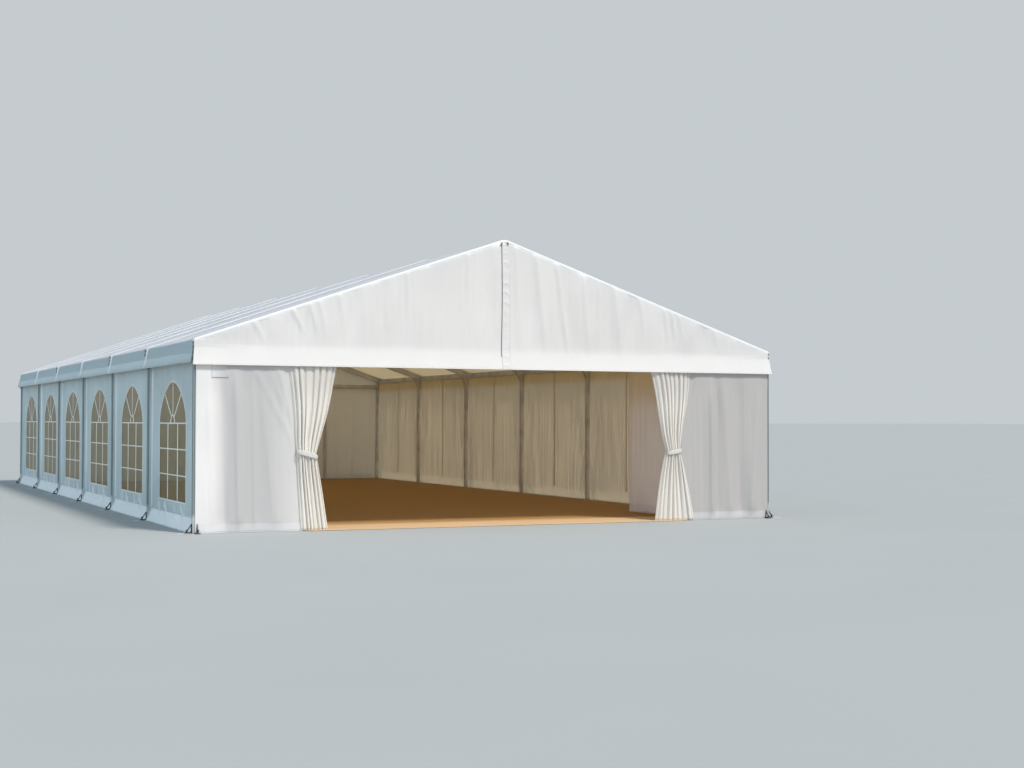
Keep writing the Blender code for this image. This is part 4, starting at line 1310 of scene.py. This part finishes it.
def curtain_place(form, u, z):
    """Point of a curtain; u runs from 0 to 1 across its pleats."""
    middle, width, depth = curtain_form(form, z)
    above = np.clip((z - TIE_Z) / (CURTAIN_TOP - TIE_Z), 0.0, 1.0)
    near_tie = np.exp(-(((z - TIE_Z) / 0.15) ** 2))
    random = np.random.RandomState(form["seed"])
    drift = 0.0
    for count in (1, 2, 3):
        start, run = random.uniform(0.0, 6.3), random.uniform(0.4, 1.6)
        drift = drift + 0.12 / count * np.sin(2.0 * math.pi * count * u + start + run * z)
    turn = math.pi * (form["pleats"] * u + drift * (0.35 + 0.65 * np.sin(math.pi * u)))
    roll = 1.0 - (0.5 - 0.5 * np.cos(2.0 * turn)) ** 1.7
    second = 0.5 + 0.5 * np.sin(2.0 * turn + 4.0 * u + form["seed"])
    tall = 0.78 + 0.22 * np.sin(2.0 * math.pi * 2.3 * u + form["seed"] + 0.9 * z)
    fine = 0.02 * np.sin(5.0 * turn + 2.2 * z)
    bundle = np.sqrt(np.clip(1.0 - (2.0 * u - 1.0) ** 2, 0.0, 1.0))
    edge = ease(u, 0.0, 0.05) * ease(u, 1.0, 0.95)
    pleated = (0.80 * roll * tall + 0.10 * second + fine) * edge
    front = pleated * (1.0 - 0.45 * near_tie) + 0.45 * near_tie * bundle + 0.06
    y = CURTAIN_BACK - depth * np.clip(front, 0.02, 1.0)
    swell = 0.07 * width / form["pleats"] * np.sin(2.0 * turn) * edge
    lean = 0.10 * width / form["pleats"] * (roll - 0.5) * np.sin(3.0 * u + form["seed"]) * edge
    x = middle + width * (u - 0.5) + swell + lean
    sway = 4.0 * above * (1.0 - above) * (1.0 - near_tie)
    return spread(x + 0.018 * np.sin(3.0 * z + form["seed"]) * sway, y, z)


def curtain(word, form):
    """Curtain of one side with its hem and its tie; its flat width is the line of its pleats."""
    z = np.concatenate([np.linspace(CURTAIN_FOOT, 0.96, 34), np.linspace(0.98, 1.10, 9),
                        np.linspace(1.13, CURTAIN_TOP, 40)])
    u = np.linspace(0.0, 1.0, form["pleats"] * PLEAT_STEPS + 1)
    grid = curtain_place(form, u[:, None], z)
    shape = Shape()
    shape.grid(grid, 0.0015)
    shape.tube(curtain_place(form, u, CURTAIN_FOOT + 0.003), 0.003, 6)
    piece = shape.piece("curtain_cloth_" + word, curtain_cloth, "curtain_cloth")
    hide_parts("front_curtain_" + word)
    tie = curtain_tie(word, form)


def curtain_tie(word, form):
    """Soft band round the gathered cloth, lower on one side, with small gathers."""
    middle, width, depth = curtain_form(form, TIE_Z)
    turn = np.linspace(0.0, 2.0 * math.pi, 193)[:, None]
    across, along = np.cos(turn), np.sin(turn)
    rise = np.linspace(-1.0, 1.0, 11)
    crease = 0.0010 * np.sin(15.0 * turn + 1.9 * rise) + 0.0009 * np.cos(6.0 * rise + 2.0 * turn)
    crease = crease * (0.3 + 0.7 * np.maximum(-along, 0.0))
    swell = 0.006 + 0.002 * np.cos(0.5 * math.pi * rise) + crease
    x = middle + (width / 2 + swell) * np.sign(across) * np.abs(across) ** 0.8
    centre_y = CURTAIN_BACK - depth / 2 - 0.001
    y = centre_y + (depth / 2 + swell) * np.sign(along) * np.abs(along) ** 0.8
    narrow = 1.0 - 0.38 * np.abs(across) ** 5
    z = TIE_Z + TIE_HALF * rise * narrow + form["slant"] * (x - middle)
    points, quads = weld([spread(x, np.minimum(y, CURTAIN_BACK + 0.001), z)])
    shape = Shape()
    shape.shell(points, quads, 0.002)
    return shape.piece("curtain_tie_" + word, tie_cloth, "curtain_cloth")


# Wall sheet folded back into the hall beside the right post
def build_folded_sheet():
    """Plain sheet on its arm, with soft folds, a hem and a line of stitches."""
    distance = np.linspace(0.004, 1.398, 92)
    z = np.concatenate([[0.061, 0.09, 0.13, 0.17, 0.2], np.linspace(0.26, 2.329, 36)])
    along = distance[:, None]
    soft = 0.0055 * folds(along, z, FOLDED_SEED, 0.11, 0.22)
    soft = soft + 0.004 * folds(along, z, FOLDED_SEED + 3, 0.4, 0.8)
    shape = Shape()
    shape.grid(fold_place(along, z, -soft * ease(z, 2.33, 2.15)))
    for height, radius in ((0.066, 0.003), (0.185, 0.0015)):
        shape.tube(fold_place(distance, height, -0.001), radius, 6)
    sheet = shape.piece("folded_sheet_cloth", sheet_cloth, "wall_cloth")
    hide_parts("folded_back_sheet")


def build_matting():
    """Coir in one level, with faint undulation and a rounded front edge."""
    tongue, side, end, front = 2.9694, 4.3774, 8.965, 9.1303
    edge, depth = 0.006, 0.0105
    outer = np.linspace(tongue, side, 8)
    middle = np.linspace(-tongue, tongue, 30)
    columns = np.concatenate([-outer[::-1], middle[1:-1], outer])
    front_rows = np.array([-front, -front + 0.004, -front + 0.02, -end])
    flat, quads = weld([spread(columns[:, None], np.linspace(-end, end, 90)),
                        spread(middle[:, None], front_rows)])
    x, y = flat.T
    soft = 0.0008 * folds(x, y, MAT_SEED, 1.0, 3.0)
    drop = edge * np.clip((-y - front + edge) / edge, 0.0, 1.0) ** 2
    z = MAT_TOP - 0.0005 + np.clip(soft, -0.0008, 0.0005) - drop
    shape = Shape()
    shape.shell(spread(x, y, z), quads, depth)
    mat = shape.piece("coir_matting", coir, "matting")
    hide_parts("floor_matting")


# Small fastenings: straps and buckles where cloths meet, those on the valances partly painted shade,
# and the ends of the tie-down straps
def buckle(shape, centre, size, turn=None):
    """Frame buckle: a block with a raised rim and a tongue."""
    width, depth, height = size
    shape.block(centre, size, turn)
    for level in (-0.32, 0.0, 0.32):
        offset = Vector((0.0, -depth * 0.35, level * height))
        if turn is not None:
            offset = turn.to_3x3() @ offset
        rib = (width * 1.12, depth * 0.8, height * 0.14)
        shape.block(np.array(centre) + np.array(offset), rib, turn, 0.001)


def build_fastenings():
    """Dark straps and buckles at the corners, on the gable and along the valances, where they are
    partly painted shade.
    """
    shape = Shape()
    for side in (-1, 1):
        for end in (-1, 1):
            corner_lacing(shape, side, end)
    for x, lean in ((-0.064, 0.45), (0.034, -0.45)):
        point = gable_place(-1, x, 1.975, 0.010)
        buckle(shape, point, (0.020, 0.008, 0.044), Matrix.Rotation(lean, 4, "Y"))
    for row in (1.20, 1.70):
        buckle(shape, gable_place(-1, 4.484, row, 0.004), (0.012, 0.006, 0.040))
    # Painted shade: these buckles, large and dark beside the rafter covers, stand for the shade in
    # the gap under each cover's end.
    for station, tops in ((-6.0, (2.53, 2.475)), (-3.0, (2.54, 2.485, 2.43)), (3.0, (2.53, 2.47))):
        for side in (-1, 1):
            for z in tops:
                fall = np.clip((2.56 - z) / 0.29, 0.0, 1.0)
                centre = (side * (4.526 + 0.028 * fall), station + 0.036, z)
                buckle(shape, centre, (0.022, 0.022, 0.046))
    shape.piece("strap_buckles_and_painted_shade", fitting, "frame_metal")


def corner_lacing(shape, side, end):
    """Dark straps that close the corner between a side valance and a gable flap."""
    foot_out = 0.026 if end < 0 else 0.070
    for z in (2.535, 2.475, 2.40, 2.33, 2.275):
        row = min((z - GABLE_HEM) / (GABLE_BEND - GABLE_HEM), 1.06)
        x, y, _ = gable_place(end, side * 4.497, row)
        out = float(np.interp(z, [2.270, 2.385, 2.56], [foot_out, 0.008, 0.002])) + 0.001
        near = np.array([x + side * 0.004, y - end * 0.008, z])
        away = np.array([side * (HALF_SPAN + out), end * (HALF_LENGTH - 0.012), z])
        shape.tape(near, away, 0.018, (side, 0.0, 0.0), 0.003)
        if z in (2.475, 2.33):
            buckle(shape, (near + away) / 2 + (side * 0.005, 0.0, 0.0), (0.008, 0.030, 0.026))


def build_strap_tails():
    """Short white webbing ends on the ground beside the feet."""
    feet = [(side, station) for side in (-1, 1) for station in STATIONS]
    across = np.array([-0.0125, 0.0, 0.0125])[:, None]
    share = np.linspace(0.0, 1.0, 13)
    for number, (side, station) in enumerate(feet, 1):
        random = np.random.RandomState(STRAP_SEED + number)
        y = station - 0.055 + random.uniform(-0.05, 0.02) * share ** 2
        z = 0.0045 + 0.006 * np.sin(math.pi * share) * random.uniform(0.3, 1.0)
        grid = spread(side * (4.515 + 0.20 * share), y + across, z)
        shape = Shape()
        shape.grid(grid[::-side], 0.002)
        tail = shape.piece("strap_tail_%d" % number, tape_cloth, "wall_cloth")


# Studio: floor, soft light and the camera at the photograph's viewing angle
FLOOR_HALF = 900.0
FLOOR_Z = -0.0005
KEY_FROM = (0.2215, -0.553, 0.803)
KEY_COLOUR = (1.0, 0.94, 0.86)
FILL_COLOUR = (0.67, 0.86, 1.0, 1.0)
BACKDROP_COLOUR = (0.56, 0.60, 0.63, 1.0)
CAMERA_PLACE = (-9.196, -29.671, 1.50)
CAMERA_ANGLES = (24.283, 1.343, 0.134)
CAMERA_LENS = 55.23


def build_stage():
    """Grey floor under the tent."""
    mesh = bpy.data.meshes.new("studio_floor")
    corners = [(-1, -1), (1, -1), (1, 1), (-1, 1)]
    points = [(x * FLOOR_HALF, y * FLOOR_HALF, FLOOR_Z) for x, y in corners]
    mesh.from_pydata(points, [], [(0, 1, 2, 3)])
    material, tree, shader = new_material("studio_floor", 0.9)
    tint = mix_colour(tree, grain(tree, 0.4, 2.0), (0.375, 0.385, 0.39), (0.395, 0.405, 0.41))
    feed(tree, shader, {"Base Color": tint, "Specular IOR Level": 0.1})
    mesh.materials.append(material)
    add_object("studio_floor", mesh)


def build_lights():
    """Soft key light, and a fill from all round that is stronger from the front and left."""
    sun = bpy.data.lights.new("key_light", "SUN")
    sun.energy = 3.2
    sun.angle = math.radians(11.0)
    sun.color = KEY_COLOUR
    lamp = add_object("key_light", sun)
    lamp.rotation_euler = Vector(KEY_FROM).to_track_quat("Z", "Y").to_euler()
    world = bpy.data.worlds.new("studio")
    world.use_nodes = True
    tree = world.node_tree
    fill = tree.nodes["Background"]
    sky = node(tree, "SeparateXYZ", {0: node(tree, "TexCoord").outputs["Generated"]})
    front = remap(tree, sky.outputs["Y"], -1.0, 1.0, 0.98, 0.44)
    left = remap(tree, sky.outputs["X"], -1.0, 1.0, 0.21, -0.21)
    feed(tree, fill, {"Color": FILL_COLOUR, "Strength": maths(tree, "ADD", front, left)})
    backdrop = node(tree, "Background", {"Color": BACKDROP_COLOUR, "Strength": 1.0})
    seen = node(tree, "LightPath").outputs["Is Camera Ray"]
    both = node(tree, "MixShader", {0: seen, 1: fill.outputs[0], 2: backdrop.outputs[0]})
    feed(tree, tree.nodes["World Output"], {"Surface": both.outputs[0]})
    bpy.context.scene.world = world
    bpy.context.scene.view_settings.view_transform = "Standard"


def build_camera():
    """Camera solved from the photograph: its place, its yaw, pitch and roll, and its lens."""
    yaw, pitch, roll = (math.radians(angle) for angle in CAMERA_ANGLES)
    forward = Vector((math.sin(yaw) * math.cos(pitch), math.cos(yaw) * math.cos(pitch),
                      math.sin(pitch)))
    level = Vector((math.cos(yaw), -math.sin(yaw), 0.0))
    up = level.cross(forward)
    right = level * math.cos(roll) + up * math.sin(roll)
    up = up * math.cos(roll) - level * math.sin(roll)
    lens = bpy.data.cameras.new("camera")
    lens.lens = CAMERA_LENS
    lens.clip_end = 2000.0
    camera = add_object("camera", lens)
    columns = Matrix((right, up, -forward)).transposed()
    camera.matrix_world = Matrix.Translation(CAMERA_PLACE) @ columns.to_4x4()
    bpy.context.scene.camera = camera


build_camera()
build_stage()
build_lights()
build_frames()
gable_rails("gable_rails_front", -1, (-POST_X, POST_X), "front_gable_frame")
gable_rails("gable_rails_back", 1, (-POST_X, 0.0, POST_X), "back_gable_frame")
build_roof()
build_rafter_covers()
build_left_walls()
build_right_walls()
build_gable(-1, "front")
build_gable(1, "back")
build_end_walls()
curtain("left", LEFT_CURTAIN)
curtain("right", RIGHT_CURTAIN)
build_folded_sheet()
build_matting()
build_fastenings()
build_strap_tails()
